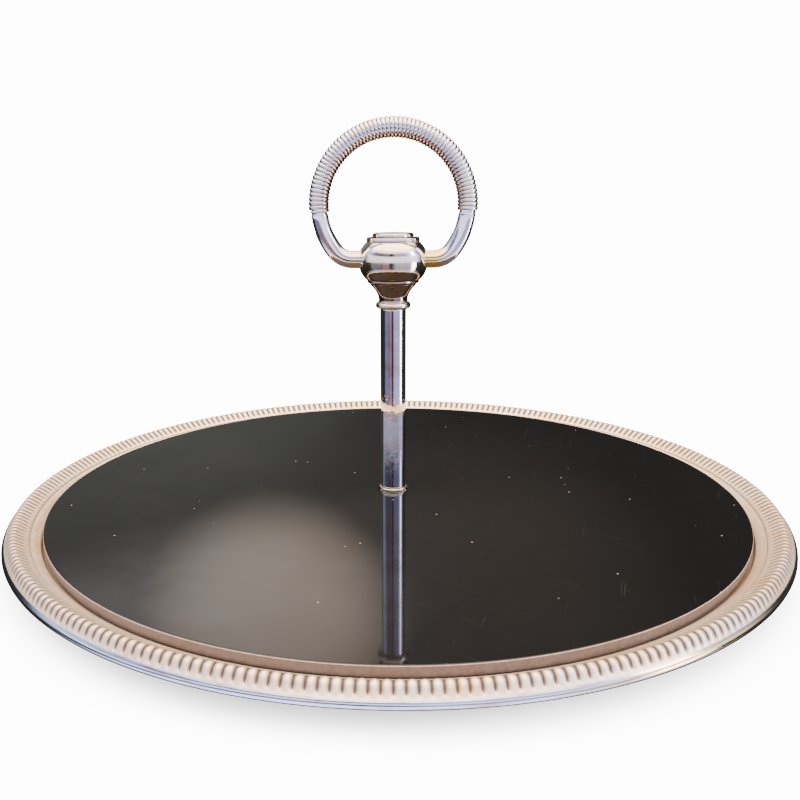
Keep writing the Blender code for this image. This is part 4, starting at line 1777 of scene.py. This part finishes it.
@dataclass
class Studio:
    """The pale floor and the soft light round the object.

    Attributes:
        white: Brightness of the backdrop that the camera sees.
        shade: The room low behind the object.
        dome: Light from above.
        front: Light from the front, in a low band and again below the dome; the panels show
            between the two and under the band.
        below: Light from the front, off the floor.
        panels: A dim cool and a dim rosy panel at the left, a cool one at the right, and a
            narrow bright strip beyond it.
        glows: Extra soft patches.
        turn: Share along Y where the front starts and is full.
        behind_rise: Share along Z where the room behind starts and is full.
        front_level: Share along Z of the middle of the front light's lower band.
        front_reach: How far from that level the band has ended and is full.
        front_upper: Share along Z where the front light starts again and is full.
        dome_rise: Share along Z where the dome starts and is full.
        below_drop: Share along Z where the floor's light starts and is full.
        floor_size: Width of the floor.
    """

    white: float = 14.0
    shade: Colour = (0.036, 0.040, 0.036)
    dome: Colour = (7.6, 5.5, 3.9)
    front: Colour = (1.9, 1.85, 2.4)
    below: Colour = (2.4, 2.4, 3.2)
    panels: tuple[Panel, ...] = (
        Panel(-60, 25, (0.2, 0.2, 0.4)),
        Panel(-25, 15, (0.4, 0.2, 0.3)),
        Panel(40, 45, (0.6, 0.6, 1.0)),
        Panel(75, 10, (12.0, 11.0, 12.0)),
    )
    glows: tuple[Glow, ...] = (
        Glow(189, 28.5, 9.5, (2.2, 1.75, 1.42), 0.15),
        Glow(204, 17, 26, (0.20, 0.21, 0.19), 0.15),
        Glow(174, 30, 16, (0.22, 0.17, 0.13), 0.15),
        Glow(75, 30, 30, (0.8, 1.0, 1.6)),
        Glow(-100, 38, 30, (1.0, 1.2, 1.7)),
    )
    turn: Point = (0.40, -0.15)
    behind_rise: Point = (-0.02, 0.06)
    front_level: float = 0.12
    front_reach: Point = (0.195, 0.165)
    front_upper: Point = (0.50, 0.58)
    dome_rise: Point = (0.56, 0.86)
    below_drop: Point = (-0.38, -0.62)
    floor_size: float = 6.0

    def build(self) -> None:
        """Light the room and lay the floor."""
        self.build_room()
        self.build_floor()

    def build_room(self) -> None:
        """Wire the world: white for the camera, soft patches of light for everything else."""
        world = bpy.data.worlds.new("soft room")
        bpy.context.scene.world = world
        world.use_nodes = True
        world.node_tree.nodes.clear()
        graph = Graph(world.node_tree)
        direction = graph.node("ShaderNodeTexCoord").outputs["Generated"]
        across, depth, height = graph.parts(direction)
        facing = graph.remap(depth, *self.turn)
        light = self.horizon(graph, across, depth)
        level = graph.math("ABSOLUTE", graph.math("SUBTRACT", height, self.front_level))
        band = graph.math("MAXIMUM", graph.remap(level, *self.front_reach),
                          graph.remap(height, *self.front_upper))
        above = graph.math("MULTIPLY", band, facing)
        behind = graph.math("SUBTRACT", 1.0, facing)
        behind = graph.math("MULTIPLY", behind, graph.remap(height, *self.behind_rise))
        light = graph.mix(behind, light, self.shade)
        light = graph.mix(above, light, self.front)
        under = graph.math("MULTIPLY", graph.remap(height, *self.below_drop), facing)
        light = graph.mix(under, light, self.below)
        light = graph.mix(graph.remap(height, *self.dome_rise), light, self.dome)
        for glow in self.glows:
            feeds = {0: direction, 1: glow.direction()}
            near = graph.node("ShaderNodeVectorMath", feeds, operation="DOT_PRODUCT").outputs[1]
            edge = math.cos(math.radians(glow.reach_deg))
            full = math.cos(math.radians(glow.reach_deg * glow.core))
            light = graph.mix(graph.remap(near, edge, full), light, glow.colour, "ADD")
        sees = graph.node("ShaderNodeLightPath").outputs["Is Camera Ray"]
        feeds = {"Color": graph.mix(sees, light, (self.white,) * 3), "Strength": 1.0}
        background = graph.node("ShaderNodeBackground", feeds)
        graph.node("ShaderNodeOutputWorld", {"Surface": background.outputs[0]})

    def horizon(self, graph: Graph, across: Socket, depth: Socket) -> Socket:
        """Return the dim room with the panels' light round the horizon.

        Args:
            graph: The world's tree.
            across: The direction's part along X.
            depth: The direction's part along Y.

        Returns:
            The light's socket.
        """
        ahead = graph.math("MULTIPLY", depth, -1.0)
        heading = graph.math("ARCTAN2", across, ahead)
        light = self.shade
        for panel in self.panels:
            middle = math.radians(panel.heading_deg)
            spread = math.radians(panel.spread_deg)
            away = graph.math("ABSOLUTE", graph.math("SUBTRACT", heading, middle))
            near = graph.remap(away, spread, spread * panel.core)
            light = graph.mix(near, light, panel.colour, "ADD")
        return light

    def build_floor(self) -> None:
        """Lay a plain pale floor at the feet."""
        bm = bmesh.new()
        bmesh.ops.create_grid(bm, x_segments=1, y_segments=1, size=self.floor_size / 2)
        floor = to_object(bm, "studio_floor", MattMaterial(
            "pale floor", base=(0.86, 0.86, 0.86), worn=(0.84, 0.84, 0.84), grain=200.0,
            roughness=0.9).build())
        floor.is_shadow_catcher = True
        floor.visible_glossy = False


@dataclass(frozen=True)
class Viewpoint:
    """The camera.

    Attributes:
        place: Where it stands.
        pan_deg: How far it is turned from +Y towards +X.
        pitch_deg: How far it looks up.
        roll_deg: How far it leans.
        lens: Focal length on a 36 mm wide sensor, in millimetres.
        shift: Sideways shift of the view, as a share of its width.
    """

    place: Corner = (0.0, -0.35293, 0.13836)
    pan_deg: float = -1.96
    pitch_deg: float = -13.55
    roll_deg: float = -0.50
    lens: float = 37.95
    shift: float = 0.0435

    def build(self) -> None:
        """Set up the scene's camera."""
        data = bpy.data.cameras.new("camera")
        data.lens = self.lens
        data.sensor_width = 36.0
        data.shift_x = self.shift
        data.clip_start = 0.01
        camera = bpy.data.objects.new("camera", data)
        pan = Matrix.Rotation(-math.radians(self.pan_deg), 4, "Z")
        pitch = Matrix.Rotation(math.radians(90 + self.pitch_deg), 4, "X")
        roll = Matrix.Rotation(math.radians(self.roll_deg), 4, "Z")
        camera.matrix_world = Matrix.Translation(self.place) @ pan @ pitch @ roll
        bpy.context.scene.collection.objects.link(camera)
        bpy.context.scene.camera = camera


def main() -> None:
    """Load the frame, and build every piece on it."""
    logging.basicConfig(level=logging.INFO, format="%(message)s")
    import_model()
    for part in (PressedTray(), GlassDisc(), Post(), Knob(), RingHandle(), Underside()):
        LOG.info("building %s", type(part).__name__)
        part.build()
    Studio().build()
    Viewpoint().build()


if __name__ == "__main__":
    main()
